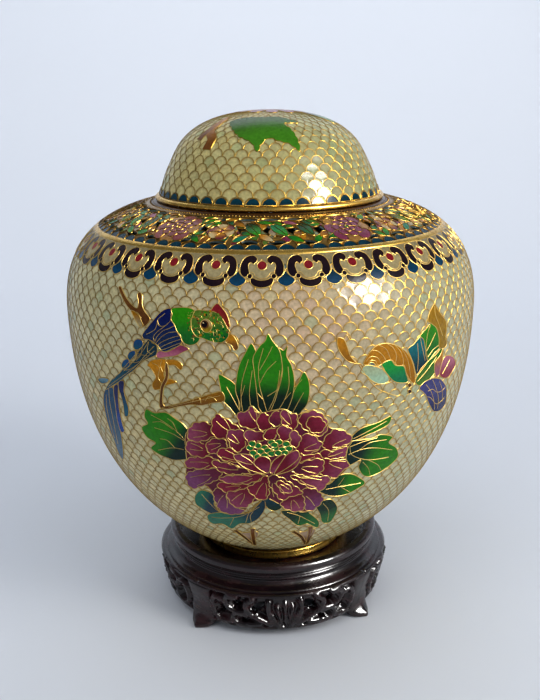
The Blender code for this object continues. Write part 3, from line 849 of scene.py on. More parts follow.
# The left stem under the peony: its bud, and the two strokes that run on to a tip.
STEM_BUD = [(-14.6, 37.0), (-10.4, 36.0), (-5.6, 37.4), (-6.4, 30.0), (-7.6, 24.4), (-10.8, 29.6)]
STEM_FRONT = [(-14.0, 37.6), (-10.6, 31.0)]
STEM_BACK = [(-7.4, 40.4), (-7.4, 34.0)]


def draw_cluster(art):
    """The leaves round the peony, and the two stems under it."""
    for points, *rest in LEAVES:
        flat = on_jar(points, FLOWER_VIEW)
        if rest:
            look, foot, tip = rest
            ends = on_jar([foot, tip], FLOWER_VIEW)
            art.field(soft(flat), *LEAF_LOOKS[look], *ends, 0.30, 0.72)
        else:
            art.line(smooth_line(flat), 0.28)
    for across, tip in ((0.0, (-7.0, 20.6)), (21.2, (13.2, 16.4))):
        bud, front, back = ([(x + across, v) for x, v in line]
                            for line in (STEM_BUD, STEM_FRONT, STEM_BACK))
        art.field(soft(bud), BROWN, SHELL * 0.6, (-9.4 + across, 25.0), (-10.0 + across, 35.0))
        art.field(stroke(front + [tip], 1.7), BROWN * 0.6)
        art.field(stroke(back + [tip], 1.8), BROWN * 0.6, BROWN)


BUTTERFLY = [
    ([(75, 520), (100, 500), (150, 520), (185, 600), (215, 690), (260, 745), (300, 775), (240, 765),
     (180, 740), (120, 670), (85, 600)], AMBER, AMBER * 0.6),
    ([(355, 770), (390, 700), (440, 630), (510, 575), (600, 560), (680, 575), (750, 610), (810, 660),
     (860, 740), (890, 850), (895, 960), (870, 975), (835, 930), (800, 860), (780, 790), (720, 800),
     (680, 760), (640, 735), (560, 770), (500, 800), (470, 770), (430, 760), (390, 790)],
     AMBER, AMBER * 0.7),
    ([(440, 630), (500, 640), (560, 690), (600, 760)],),
    ([(510, 575), (590, 620), (630, 700), (640, 735)],),
    ([(600, 560), (670, 610), (700, 690), (690, 770)],),
    ([(680, 575), (740, 640), (770, 720), (770, 790)],),
    ([(750, 610), (800, 690), (830, 780), (850, 920)],),
    ([(380, 750), (430, 700), (500, 710), (540, 770)],),
    ([(400, 780), (430, 740), (480, 745), (500, 790)],),
    ([(330, 860), (360, 800), (420, 790), (500, 810), (560, 840), (620, 920), (600, 970), (520, 985),
     (440, 950), (390, 900)], CELADON, AQUA),
    ([(550, 775), (640, 735), (690, 790), (775, 800), (800, 870), (820, 960), (740, 975), (670, 955),
     (610, 890), (570, 830)], FLY_GREEN, EMERALD),
    ([(820, 620), (880, 570), (950, 490), (985, 520), (1000, 600), (1010, 690), (1030, 740), (960, 820),
     (910, 890), (880, 780), (850, 700)], TURQUOISE * 0.5 + EMERALD * 0.4, DEEP_TEAL),
    ([(920, 560), (930, 700), (920, 850)],),
    ([(950, 500), (975, 620), (1000, 740)],),
    ([(900, 960), (920, 900), (980, 820), (1040, 740), (1110, 680), (1180, 600), (1170, 680), (1100, 760),
     (1110, 830), (1080, 900), (1000, 980), (930, 1000)],
     LEAF_GREEN * 0.6 + BRIGHT_GREEN * 0.3, OLIVE * 0.7 + LEAF_GREEN * 0.4),
    ([(920, 960), (990, 880), (1060, 790), (1120, 700)],),
    ([(950, 480), (1005, 415), (1065, 350), (1120, 400), (1145, 500), (1150, 600), (1100, 660),
     (1035, 740), (1010, 690), (1000, 600), (985, 520)], BRIGHT_GREEN, LEAF_GREEN),
    ([(1030, 735), (1010, 600), (1030, 450), (1055, 370)],),
    ([(1015, 640), (1060, 560), (1110, 450)],),
    ([(1030, 700), (1090, 620), (1145, 580)],),
    ([(1065, 350), (1030, 320), (1050, 230), (1100, 145), (1130, 200), (1180, 270), (1220, 330),
     (1225, 420), (1215, 500), (1228, 560), (1200, 610), (1150, 600), (1145, 500), (1120, 400)],
     AMBER * 0.7 + OLIVE * 0.3, AMBER * 0.6 + BRIGHT_GREEN * 0.2),
    ([(1100, 165), (1110, 260), (1150, 370), (1185, 480)],),
    ([(1190, 610), (1185, 700), (1178, 780), (1150, 880), (1120, 915), (1100, 850), (1105, 760),
     (1160, 680)], AMBER, PINK * 0.7),
    ([(1180, 750), (1220, 690), (1290, 700), (1320, 770), (1290, 850), (1230, 920), (1170, 910),
     (1155, 860)], PINK, CRIMSON),
    ([(1180, 880), (1225, 800), (1260, 730)],),
    ([(940, 1030), (1000, 960), (1090, 925), (1170, 940), (1220, 1010), (1225, 1100), (1210, 1200),
     (1160, 1260), (1090, 1270), (1040, 1190), (1010, 1110), (980, 1070)], VIOLET * 0.7, NAVY),
    ([(1010, 990), (1060, 1060), (1090, 1150), (1100, 1250)],),
    ([(1080, 940), (1120, 1040), (1140, 1140), (1130, 1240)],),
    ([(1150, 950), (1180, 1050), (1180, 1170)],),
    ([(1020, 1120), (1060, 1130), (1110, 1190), (1150, 1180), (1200, 1130)],),
    ([(1030, 1060), (1080, 1040), (1120, 1070), (1170, 1060), (1210, 1020)],),
    ([(822, 985), (840, 972), (858, 990), (852, 1015), (832, 1022), (820, 1005)], INK, BROWN),
    ([(822, 1050), (840, 1038), (858, 1055), (852, 1080), (832, 1087), (820, 1070)], INK, BROWN),
    ([(310, 790), (420, 950), (500, 1035), (600, 1080), (700, 1110)],),
    ([(150, 525), (175, 470), (210, 520)],),
]


def draw_butterfly(art):
    draw_shapes(art, BUTTERFLY, BUTTERFLY_VIEW, 0.32, 0.30)


# The peony's petals: the look, then the outline.
PETALS = [
    ("mauve", [(590, 440), (620, 450), (650, 413), (680, 440), (705, 470), (695, 530), (640, 535),
     (600, 522), (578, 480)]),
    ("crimson", [(690, 470), (730, 450), (762, 480), (772, 512), (740, 545), (692, 532)]),
    ("plum", [(758, 460), (800, 440), (832, 460), (822, 505), (780, 525), (755, 502)]),
    ("mauve", [(820, 432), (860, 448), (902, 460), (907, 505), (890, 545), (850, 525), (818, 502)]),
    ("pink", [(915, 470), (965, 442), (1010, 440), (1052, 470), (1072, 512), (1052, 565), (1000, 575),
     (950, 545), (918, 510)]),
    ("crimson", [(955, 492), (1000, 468), (1048, 490), (1058, 532), (1012, 562), (968, 542)]),
    ("mauve", [(1045, 600), (1100, 542), (1150, 545), (1192, 570), (1202, 602), (1150, 632), (1092, 655),
     (1050, 645)]),
    ("pink", [(1040, 650), (1100, 658), (1172, 632), (1165, 685), (1100, 702), (1030, 705)]),
    ("mauve", [(1030, 705), (1110, 700), (1172, 708), (1186, 740), (1142, 772), (1122, 802), (1050, 795),
     (1018, 765)]),
    ("pink", [(862, 790), (950, 800), (1050, 792), (1085, 802), (1062, 845), (1022, 878), (955, 848)]),
    ("violet", [(930, 865), (1000, 862), (1040, 898), (1042, 932), (982, 982), (942, 965), (928, 912)]),
    ("pink", [(820, 930), (870, 895), (932, 888), (945, 965), (902, 987), (850, 975), (818, 955)]),
    ("violet", [(300, 782), (360, 758), (440, 748), (495, 770), (472, 812), (400, 842), (340, 862),
     (308, 832)]),
    ("violet", [(450, 868), (520, 858), (565, 900), (560, 950), (622, 982), (560, 1002), (490, 982),
     (458, 932)]),
    ("mauve", [(305, 700), (360, 688), (430, 688), (485, 720), (440, 752), (360, 752), (298, 742)]),
    ("mauve", [(298, 622), (330, 598), (400, 618), (435, 660), (400, 692), (340, 682), (308, 662)]),
    ("pink", [(306, 562), (340, 508), (400, 498), (442, 520), (465, 562), (400, 602), (328, 602)]),
    ("crimson", [(438, 520), (460, 458), (512, 478), (562, 510), (595, 542), (572, 582), (500, 592),
     (448, 572)]),
    ("plum", [(425, 600), (480, 588), (525, 610), (505, 662), (440, 672), (408, 642)]),
    ("mauve", [(520, 560), (560, 540), (605, 545), (632, 572), (615, 640), (580, 662), (545, 640)]),
    ("crimson", [(470, 655), (540, 640), (600, 685), (645, 722), (560, 715), (495, 705)]),
    ("plum", [(440, 708), (520, 722), (600, 745), (650, 772), (560, 785), (480, 765)]),
    ("mauve", [(930, 570), (985, 568), (1025, 600), (1042, 625), (1000, 662), (940, 684), (900, 662),
     (905, 610)]),
    ("crimson", [(890, 670), (960, 680), (1015, 670), (1045, 700), (960, 712), (895, 735), (845, 745)]),
    ("plum", [(880, 740), (960, 708), (1042, 702), (1042, 765), (980, 795), (915, 785), (870, 765)]),
    ("crimson", [(470, 832), (560, 828), (640, 838), (645, 872), (560, 884), (500, 874)]),
    ("mauve", [(500, 795), (640, 782), (735, 788), (650, 832), (560, 836), (490, 818)]),
    ("mauve", [(520, 885), (580, 872), (640, 855), (695, 880), (650, 945), (618, 965), (556, 955)]),
    ("crimson", [(740, 788), (755, 860), (742, 912), (700, 922), (650, 885), (635, 855), (695, 820)]),
    ("plum", [(757, 788), (815, 798), (885, 840), (935, 885), (870, 905), (818, 925), (785, 885),
     (752, 840)]),
    ("mauve", [(790, 820), (840, 830), (880, 865), (860, 885), (820, 880)]),
    ("pink", [(618, 548), (680, 548), (725, 560), (725, 595), (660, 612), (628, 602)]),
    ("crimson", [(722, 560), (780, 528), (802, 560), (762, 602), (730, 592)]),
    ("mauve", [(800, 528), (862, 528), (875, 562), (842, 605), (808, 592)]),
    ("pink", [(870, 548), (912, 560), (925, 602), (892, 642), (868, 612)]),
]
FRONT_PETALS = [
    ("mauve", [(560, 680), (650, 680), (705, 745), (735, 782), (660, 765), (600, 735)]),
    ("pink", [(845, 745), (900, 690), (925, 690), (900, 740), (850, 770), (780, 785)]),
    ("mauve", [(668, 722), (700, 688), (742, 693), (762, 720), (748, 775), (708, 762)]),
    ("pink", [(758, 775), (768, 722), (800, 690), (835, 676), (845, 710), (805, 765)]),
    ("mauve", [(780, 785), (830, 700), (862, 668), (905, 655), (915, 690), (870, 735)]),
]
PEONY_EDGE = [
    (300, 565), (345, 512), (430, 505), (500, 482), (575, 505), (650, 415), (700, 450), (760, 440),
    (830, 430), (900, 460), (960, 445), (1050, 470), (1080, 530), (1150, 545), (1200, 600), (1180, 640),
    (1170, 700), (1185, 740), (1120, 800), (1080, 810), (1030, 870), (1040, 930), (980, 980), (900, 985),
    (820, 950), (740, 912), (700, 922), (640, 950), (620, 980), (560, 1000), (480, 980), (450, 890),
    (400, 842), (330, 860), (300, 800), (305, 720), (298, 640),
]
BEADS = [
    (648, 640), (690, 628), (728, 640), (765, 612), (805, 610), (845, 620), (860, 645), (665, 668),
    (705, 660), (745, 655), (785, 640), (822, 650), (690, 690), (728, 682), (765, 672), (800, 668),
    (838, 668), (660, 618), (780, 625),
]
PEONY_HEART = (750, 700)
# Petals longer than this, in mm, have veins.
VEINED_LENGTH = 7.5
PETAL_LOOKS = {
    "mauve": (CRIMSON * 0.6, MAUVE * 0.85),
    "crimson": (CRIMSON * 0.55, CRIMSON * 0.7 + MAUVE * 0.15),
    "plum": (PLUM * 0.7, CRIMSON * 0.4 + MAUVE * 0.4),
    "pink": (CRIMSON * 0.5, MAUVE * 0.75 + PINK * 0.15),
    "violet": (PLUM, MAUVE * 0.6 + VIOLET * 0.25),
}


def draw_petals(art, shapes, edge, heart):
    """Petals that run from dark at the flower's heart to light, each with two veins."""
    for look, points in shapes:
        flat = on_jar(points, FLOWER_VIEW)
        away = np.hypot(*(flat - heart).T)
        foot, tip = flat[np.argmin(away)], flat[np.argmax(away)]
        art.field(edge(flat), *PETAL_LOOKS[look], foot, tip, 0.40)
        middle = (foot + tip) / 2
        across = np.array([foot[1] - tip[1], tip[0] - foot[0]]) * 0.10
        if np.hypot(*(tip - foot)) > VEINED_LENGTH:
            for side in (-1, 1):
                art.line(smooth_line([foot * 0.7 + tip * 0.3 + across * side * 0.3,
                                      middle + across * side,
                                      foot * 0.2 + tip * 0.8 + across * side * 1.4]), 0.28)


def draw_peony(art):
    """The peony: its ground, its petals, the green beads and the petals before them."""
    heart = on_jar([PEONY_HEART], FLOWER_VIEW)[0]
    art.field(soft(on_jar(PEONY_EDGE, FLOWER_VIEW)), PLUM * 0.9, wire=0.40)
    draw_petals(art, PETALS, lambda points: toothed(points, 3.4, 0.55), heart)
    for spot in on_jar(BEADS, FLOWER_VIEW):
        art.field(disc(spot, 1.25, 12, 0.92), EMERALD * 0.8, BRIGHT_GREEN * 0.8, wire=0.36)
    draw_petals(art, FRONT_PETALS, soft, heart)


def small_flower(art, centre, radius, petals, inner, outer, heart, squash=1.0, turn=0.0):
    """A round blossom of overlapping petals with a heart."""
    width = radius * 2.7 / petals * 1.35
    for k in range(petals):
        degrees = turn + 360.0 * k / petals
        tip = polar((0.0, 0.0), degrees, radius) * (1.0, squash) + centre
        base = polar((0.0, 0.0), degrees, radius * 0.18) * (1.0, squash) + centre
        art.field(blade(base, tip, width, "petal", 0.0, 0.12), inner, outer, base, tip)
    art.field(disc(centre, radius * 0.26, 12, squash), heart, wire=0.36)


# The leaves of the spray at the back: base, tip and width.
BACK_LEAVES = [
    ((-18.0, 106.0), (-34.0, 104.0), 8.0), ((-25.0, 113.0), (-38.0, 122.0), 8.0),
    ((-8.0, 122.0), (6.0, 124.0), 7.5), ((-12.0, 100.0), (-30.0, 92.0), 8.5),
    ((2.0, 96.0), (4.0, 112.0), 9.5), ((12.0, 92.0), (20.0, 106.0), 9.0),
    ((16.0, 84.0), (34.0, 88.0), 9.0), ((12.0, 74.0), (27.0, 65.0), 8.5),
    ((-6.0, 74.0), (-22.0, 66.0), 8.5), ((4.0, 70.0), (6.0, 52.0), 8.5),
]


def green_leaf(art, base, tip, width):
    """A slightly bent leaf from a dark foot to a bright tip."""
    art.field(blade(base, tip, width, "leaf", 0.08), DEEP_GREEN, BRIGHT_GREEN, base, tip)


def draw_back_spray(art):
    """The plainer spray on the far side: one blossom with its leaves."""
    art.field(stroke([(-30.0, 118.0), (-18.0, 108.0), (-8.0, 92.0), (-3.0, 70.0)], 2.0),
              BROWN, AMBER)
    art.field(stroke([(-18.0, 108.0), (-14.0, 118.0), (-6.0, 126.0)], 1.6), BROWN)
    for base, tip, width in BACK_LEAVES:
        middle = np.array(base) * 0.5 + np.array(tip) * 0.5
        green_leaf(art, base, tip, width)
        art.line(smooth_line([base, middle, tip]), 0.34)
    centre = np.array([3.0, 83.0])
    small_flower(art, centre, 16.0, 11, PLUM, MAUVE, EMERALD, 0.9, 8.0)
    small_flower(art, centre, 9.0, 8, CRIMSON, PINK * 0.8, BRIGHT_GREEN, 0.9)


def both_sides(half):
    """An outline from one half of it; points on the axis come once."""
    return half + [(-x, y) for x, y in half[::-1] if x]


# One head of the cloud border: u from its middle, v from BORDER_TOP, under the gilt band.
BORDER_TOP = 149.9
CURL = [(-2.6, -3.1), (-1.8, -2.2), (-2.0, -0.8), (-3.5, 0.1), (-5.5, -0.35), (-6.9, -1.6),
        (-7.6, -3.6), (-7.7, -5.5), (-7.2, -7.1), (-6.1, -8.1), (-5.1, -7.9), (-4.3, -6.9),
        (-4.5, -5.7), (-4.8, -4.5), (-4.7, -3.5), (-4.3, -2.9), (-3.8, -2.8), (-3.5, -3.2),
        (-3.0, -3.5)]
HALF_HEAD = [(-1.2, 0.4), (-3.7, 0.1), (-6.9, -1.7), (-7.7, -5.0), (-6.0, -8.2), (-3.2, -9.4),
             (0.0, -10.0)]
HALF_LOBES = [(0.0, -1.6), (1.2, -2.9), (3.2, -3.1), (4.9, -3.3), (5.1, -4.9), (4.3, -6.2),
              (3.0, -6.6), (2.0, -8.0), (0.0, -8.7)]
DROP = [(8.25, -5.9), (9.2, -7.2), (11.1, -8.9), (10.6, -10.3), (8.25, -11.3), (5.9, -10.3),
        (5.4, -8.9), (7.3, -7.2)]
CRESCENT = [(-3.5, -8.2), (-1.8, -8.9), (0.0, -9.2), (1.8, -8.9), (3.5, -8.2), (3.9, -9.5),
            (2.8, -11.0), (0.0, -11.7), (-2.8, -11.0), (-3.9, -9.5)]


def draw_border(art):
    """One head of the cloud border with the drop beside it."""
    lift = np.array([0.0, BORDER_TOP])
    strip = [(-8.3, -3.6), (8.3, -3.6), (8.3, 0.9), (-8.3, 0.9)]
    art.field(np.array(strip) + lift, CREAM * 0.4, wire=0)
    art.field(soft(DROP) + lift, DEEP_TEAL, TURQUOISE * 0.25 + BLUE * 0.15,
              (8.2, BORDER_TOP - 6.5), (8.2, BORDER_TOP - 9.5))
    art.field(soft(both_sides(HALF_HEAD)) + lift, CREAM * 0.4, wire=0.34)
    art.field(soft(both_sides(HALF_LOBES)) + lift, CREAM * 0.55, wire=0.30)
    for outline in (CURL, mirror(CURL), CRESCENT):
        art.field(soft(outline) + lift, INK, INK + BROWN * 0.06)
    for side in (-1, 1):
        art.field(disc((4.1 * side, BORDER_TOP - 7.8), 0.9, 10), INK, wire=0.30)
    art.field(disc((0.0, BORDER_TOP - 3.9), 1.75, 14), MAROON, MAROON * 1.15, wire=0.38)


def scallop(width, height, foot):
    """A round-topped lobe that stands on a line."""
    t = np.linspace(0, math.pi, 11)
    return np.stack([width / 2 * np.cos(t), foot + height * np.sin(t)], -1)


# The openings between the blossoms of the shoulder, as in the solids: degrees from the
# blossom, share of the way out from FIRST_SHARE to OUTER_EDGE, length, width and tilt.
OPENINGS = [
    (-10.2, 0.52, 8.8, 3.7, 78.0), (10.2, 0.50, 8.4, 3.7, -78.0),
    (0.0, 0.04, 8.4, 2.2, 0.0),
    (-6.8, 0.89, 5.0, 2.1, 12.0), (6.2, 0.89, 5.0, 2.1, -12.0),
    (15.2, 0.11, 7.6, 3.2, -6.0), (16.4, 0.91, 7.4, 2.2, -4.0),
    (24.2, 0.50, 7.8, 3.6, 62.0),
    (24.6, 0.09, 7.0, 2.8, 4.0), (27.0, 0.88, 5.8, 2.6, 4.0),
    (32.4, 0.49, 8.2, 3.8, 54.0), (33.6, 0.07, 7.2, 2.6, 0.0),
    (35.0, 0.89, 6.0, 2.5, -4.0), (40.6, 0.51, 8.2, 3.8, 62.0),
    (42.4, 0.06, 6.6, 2.4, 6.0), (44.0, 0.89, 6.6, 2.4, 4.0),
]
SPRAYS = 6
FIRST_SPRAY = 27.0
INNER_EDGE, OUTER_EDGE = 46.6, 65.0
FIRST_SHARE = 48.0
SPRAY_STARTS = [FIRST_SPRAY + number * 360.0 / SPRAYS for number in range(SPRAYS)]
# The length v at the belly, past which the jar's side runs inwards.
SHOULDER_FOOT = 117.2


def around(degrees, radius):
    """A plan point at degrees round from the front."""
    turn = math.radians(degrees)
    return np.array([radius * math.sin(turn), -radius * math.cos(turn)])


def share_radius(share):
    return FIRST_SHARE + share * (OUTER_EDGE - FIRST_SHARE)


def circle(radius, count):
    """Plan points round the axis."""
    return np.array([around(360.0 * k / count, radius) for k in range(count)])


def directions(degrees, share):
    """A place on the shoulder, with the directions across and out there."""
    centre = around(degrees, share_radius(share))
    out = centre / math.hypot(*centre)
    return centre, np.array([-out[1], out[0]]), out


def oval(length, width, tilt, count):
    """A tilted oval's points, as their parts along two directions."""
    t = np.linspace(0, 2 * math.pi, count, endpoint=False)
    u, v = np.cos(t) * length / 2, np.sin(t) * width / 2
    c, s = math.cos(math.radians(tilt)), math.sin(math.radians(tilt))
    return u * c - v * s, u * s + v * c


def tilted(degrees, share, length, width, tilt):
    """An oval in plan: its length lies across the radius when tilt is 0."""
    centre, across, out = directions(degrees, share)
    aside, outward = oval(length, width, tilt, 14)
    return centre + np.outer(aside, across) + np.outer(outward, out)


def on_shoulder(points, lift):
    """Plan points laid on the jar's shoulder."""
    reach, angle = from_axis(points)
    high = JAR.v > SHOULDER_FOOT
    return JAR.ring(angle, np.interp(-reach, -JAR.r[high], JAR.v[high]), lift)


def shoulder_openings():
    """The outlines of all openings, spray by spray."""
    return [tilted(start + degrees, *rest) for start in SPRAY_STARTS for degrees, *rest in OPENINGS]


def oriented(degrees, share, length, width, tilt):
    """A leaf at a place on the shoulder: its base, its tip and its outline."""
    centre, across, out = directions(degrees, share)
    c, s = math.cos(math.radians(tilt)), math.sin(math.radians(tilt))
    ahead = across * c + out * s
    base, tip = centre - ahead * length / 2, centre + ahead * length / 2
    return base, tip, blade(base, tip, width)


GROUND = [(AMBER, CREAM * 0.6), (LEAF_GREEN, BRIGHT_GREEN), (PLUM, MAUVE), (OLIVE, CELADON * 0.5),
          (BROWN, AMBER), (SHELL * 0.4, CREAM * 0.6), (DEEP_GREEN, EMERALD), (AMBER * 0.7, AMBER),
          (DEEP_GREEN, BRIGHT_GREEN), (LEAF_GREEN, OLIVE), (BROWN, AMBER * 0.8)]
# The rows of the ground's leaves, as shares of the way out, and the leaves' spacing.
GROUND_ROWS = (0.05, 0.24, 0.43, 0.62, 0.80)
GROUND_PITCH = 5.3
# The larger leaves of a spray: degrees, share of the way out, length, width, tilt and colours.
SPRAY_LEAVES = [
    (27.6, 0.48, 10.0, 4.6, 58.0, (DEEP_GREEN, BRIGHT_GREEN)),
    (36.3, 0.50, 9.6, 4.4, 56.0, (EMERALD, BRIGHT_GREEN)),
    (45.2, 0.48, 9.4, 4.4, 66.0, (DEEP_GREEN, LEAF_GREEN)),
    (31.4, 0.22, 6.4, 2.8, 20.0, (LEAF_GREEN, BRIGHT_GREEN)),
    (22.2, 0.30, 6.0, 2.8, 40.0, (BROWN, AMBER)),
    (40.4, 0.24, 6.0, 2.6, 24.0, (MAUVE, PINK * 0.8)),
    (32.0, 0.76, 6.0, 2.8, 34.0, (AMBER, CREAM * 0.8)),
    (41.0, 0.80, 6.4, 2.6, 30.0, (LEAF_GREEN, BRIGHT_GREEN)),
    (24.0, 0.78, 6.2, 2.6, -30.0, (EMERALD, SEA_GREEN)),
    (10.4, 0.20, 5.6, 2.6, -40.0, (LEAF_GREEN, BRIGHT_GREEN)),
    (49.0, 0.20, 5.4, 2.4, 40.0, (LEAF_GREEN, OLIVE)),
    (9.4, 0.82, 5.6, 2.4, 40.0, (DEEP_GREEN, BRIGHT_GREEN)),
]
# The blossoms' colours, dark foot, light tip and heart, in turn round the shoulder.
BLOSSOM_LOOKS = [(PLUM * 0.8, MAUVE * 0.8, BRIGHT_GREEN), (PLUM, MAUVE * 0.5 + AMBER * 0.2, AMBER),
                 (PLUM, MAUVE * 0.7 + BROWN * 0.3, AMBER)]


def draw_ground(art):
    """The small leaves and petals that fill the shoulder between its sprays."""
    for row, share in enumerate(GROUND_ROWS):
        count = int(round(2 * math.pi * share_radius(share) / GROUND_PITCH))
        for k in range(count):
            degrees = 360.0 / count * (k + 0.5 * (row % 2) + RNG.uniform(-0.15, 0.15))
            tilt = RNG.uniform(18.0, 64.0) * (1 if row % 2 else -1)
            length = 4.4 if row == 0 else RNG.uniform(5.4, 7.4)
            look = GROUND[RNG.integers(len(GROUND))]
            base, tip, outline = oriented(degrees, share, length, length * 0.44,
                                          tilt * (0.35 if row == 0 else 1.0))
            art.field(outline, *look, base, tip, 0.32)


def draw_opening_leaves(art, start):
    """A small leaf at either end of each large opening."""
    for degrees, share, length, width, tilt in OPENINGS:
        if length < 7.5 or width < 3.0:
            continue
        centre = around(start + degrees, share_radius(share))
        for end in (-1, 1):
            base, tip, _ = oriented(start + degrees, share, length * 0.9, width, tilt)
            spot = centre + (tip - base) * 0.36 * end
            petal = polar(spot, RNG.uniform(0.0, 360.0), 2.1)
            look = GROUND[RNG.integers(len(GROUND))]
            art.field(blade(2 * spot - petal, petal, 2.4), *look, 2 * spot - petal, petal, 0.32)


def draw_bud(art, start):
    """The spray's small amber blossom beside the large one."""
    centre = around(start + 17.0, 57.6)
    for k in range(6):
        tip = polar(centre, 60.0 * k + start, 4.6)
        base = polar(centre, 60.0 * k + start, 0.7)
        light = PLUM if k % 2 else CREAM * 0.8
        art.field(blade(base, tip, 3.9, "petal"), AMBER, light, base, tip)
    art.field(disc(centre, 0.9, 8), MAROON, wire=0.34)


def draw_blossom(art, start, dark, light, heart):
    """The spray's blossom: a ring of notched petals and two smaller rings on it."""
    centre = around(start, 56.7)
    for k in range(8):
        tip = polar(centre, 360.0 * k / 8 + start, 8.4)
        base = polar(centre, 360.0 * k / 8 + start, 1.2)
        end = light if k % 3 else AMBER * 0.6 + CREAM * 0.12
        art.field(blade(base, tip, 5.8, "petal", 0.0, 0.14), dark, end, base, tip, 0.34)
    for count, turn, reach, width, low, high in ((7, 20, 5.4, 3.6, 0.8, 1.0),
                                                 (5, 40, 2.9, 2.4, 1.0, 1.2)):
        for k in range(count):
            tip = polar(centre, 360.0 * k / count + start + turn, reach)
            art.field(blade(centre, tip, width, "petal"), dark * low, light * high, centre, tip, 0.34)
    art.field(disc(centre, 0.8, 10), heart, wire=0.34)


def draw_spray(art, start, dark, light, heart):
    """One spray of the shoulder: its leaves, its bud and its blossom."""
    draw_opening_leaves(art, start)
    for degrees, share, length, width, tilt, look in SPRAY_LEAVES:
        base, tip, outline = oriented(start + degrees, share, length, width, tilt)
        art.field(outline, *look, base, tip, 0.36)
        if length > 9.0:
            art.line(smooth_line([base, tip]), 0.28)
    draw_bud(art, start)
    draw_blossom(art, start, dark, light, heart)


def fill_in(node, values):
    """Sets a node's inputs and returns the node."""
    for name, value in values.items():
        node.inputs[name].default_value = value
    return node


def shader(name, base, metallic=0.0, roughness=0.3, coat=0.0, specular=0.5):
    """A material, its node tree and its main shader."""
    finish = bpy.data.materials.new(name)
    finish.use_nodes = True
    main = finish.node_tree.nodes["Principled BSDF"]
    fill_in(main, {"Base Color": (*base, 1.0), "Metallic": metallic, "Roughness": roughness,
                   "Specular IOR Level": specular, "Coat Weight": coat, "Coat Roughness": 0.10})
    return finish, finish.node_tree, main


def texture(tree, scale, detail=3.0, stretch=(1.0, 1.0, 1.0)):
    """A noise over the object's own coordinates."""
    place = tree.nodes.new("ShaderNodeTexCoord")
    mapping = fill_in(tree.nodes.new("ShaderNodeMapping"), {"Scale": stretch})
    noise = fill_in(tree.nodes.new("ShaderNodeTexNoise"), {"Scale": scale, "Detail": detail})
    tree.links.new(place.outputs["Object"], mapping.inputs["Vector"])
    tree.links.new(mapping.outputs["Vector"], noise.inputs["Vector"])
    return noise.outputs["Fac"]


def remap(tree, value, low, high, start=0.3, end=0.7):
    """A value brought from the range start to end into the range low to high."""
    ramp = fill_in(tree.nodes.new("ShaderNodeMapRange"), {
        "From Min": start, "From Max": end, "To Min": low, "To Max": high})
    tree.links.new(value, ramp.inputs["Value"])
    return ramp.outputs["Result"]


def tint_between(tree, main, dark, light, factor):
    """Gives the main shader a base colour that a factor picks between two."""
    tint = tree.nodes.new("ShaderNodeMix")
    tint.data_type = "RGBA"
    fill_in(tint, {"A": (*dark, 1.0), "B": (*light, 1.0)})
    tree.links.new(factor, tint.inputs["Factor"])
    tree.links.new(tint.outputs["Result"], main.inputs["Base Color"])


def bump(tree, main, value, strength, distance):
    """Roughens the main shader's surface by a value."""
    rough = fill_in(tree.nodes.new("ShaderNodeBump"), {"Strength": strength, "Distance": distance})
    tree.links.new(value, rough.inputs["Height"])
    tree.links.new(rough.outputs["Normal"], main.inputs["Normal"])


def enamel_finish(name, cloud=0.20, roughness=0.21, coat=0.10):
    """Glassy enamel in the colours painted on the mesh, a little cloudy."""
    finish, tree, main = shader(name, (0.6, 0.6, 0.5), 0.0, roughness, coat, 0.08)
    paint = tree.nodes.new("ShaderNodeVertexColor")
    paint.layer_name = "tone"
    shade = remap(tree, texture(tree, 900.0), 1.0 - cloud, 1.0 + cloud)
    mix = tree.nodes.new("ShaderNodeVectorMath")
    mix.operation = "SCALE"
    tree.links.new(paint.outputs["Color"], mix.inputs[0])
    tree.links.new(shade, mix.inputs["Scale"])
    tree.links.new(mix.outputs["Vector"], main.inputs["Base Color"])
    bump(tree, main, texture(tree, 420.0, 2.0), 0.12, 0.0004)
    return finish


def gilt_finish(name, base, roughness, metallic=1.0):
    """Gilt brass, a little worn."""
    finish, tree, main = shader(name, base, metallic, roughness)
    wear = texture(tree, 260.0, 4.0)
    worn = base * (0.62, 0.52, 0.42)
    tint_between(tree, main, worn, base, remap(tree, wear, 0.0, 1.0, 0.32, 0.55))
    tree.links.new(remap(tree, wear, roughness + 0.14, roughness), main.inputs["Roughness"])
    bump(tree, main, texture(tree, 1400.0, 2.0), 0.10, 0.0002)
    return finish


def wood_finish(name):
    """Dark polished rosewood with a faint red grain."""
    finish, tree, main = shader(name, (0.02, 0.01, 0.01), 0.0, 0.24, 0.2, 0.35)
    grain = texture(tree, 90.0, 6.0, (1.0, 1.0, 5.0))
    tint_between(tree, main, colour(18, 9, 12), colour(48, 20, 24),
                 remap(tree, grain, 0.0, 1.0, 0.42, 0.72))
    tree.links.new(remap(tree, grain, 0.16, 0.32), main.inputs["Roughness"])
    bump(tree, main, texture(tree, 500.0, 3.0, (1.0, 1.0, 0.4)), 0.25, 0.0004)
    return finish


ENAMEL = enamel_finish("jar_enamel")
LID_ENAMEL = enamel_finish("lid_enamel")
INSIDE = enamel_finish("inside_enamel", 0.10, 0.30, 0.2)
GILT = gilt_finish("gilt_brass", colour(220, 180, 88), 0.22)
# The scale and lid wires' darker gilt is partly painted shade, lowered for the shade the wires show on
# the left.
WIRE = gilt_finish("gilt_wire", colour(156, 126, 52), 0.34)
# The shoulder's darker gilt is painted shade, lowered for the shoulder's gilding where it is out of the
# light.
SHADED_GILT = gilt_finish("shaded_gilt", colour(138, 108, 50), 0.30)
BRIGHT_WIRE = gilt_finish("bright_wire", colour(206, 174, 92), 0.38, 0.7)
ROSEWOOD = wood_finish("rosewood")

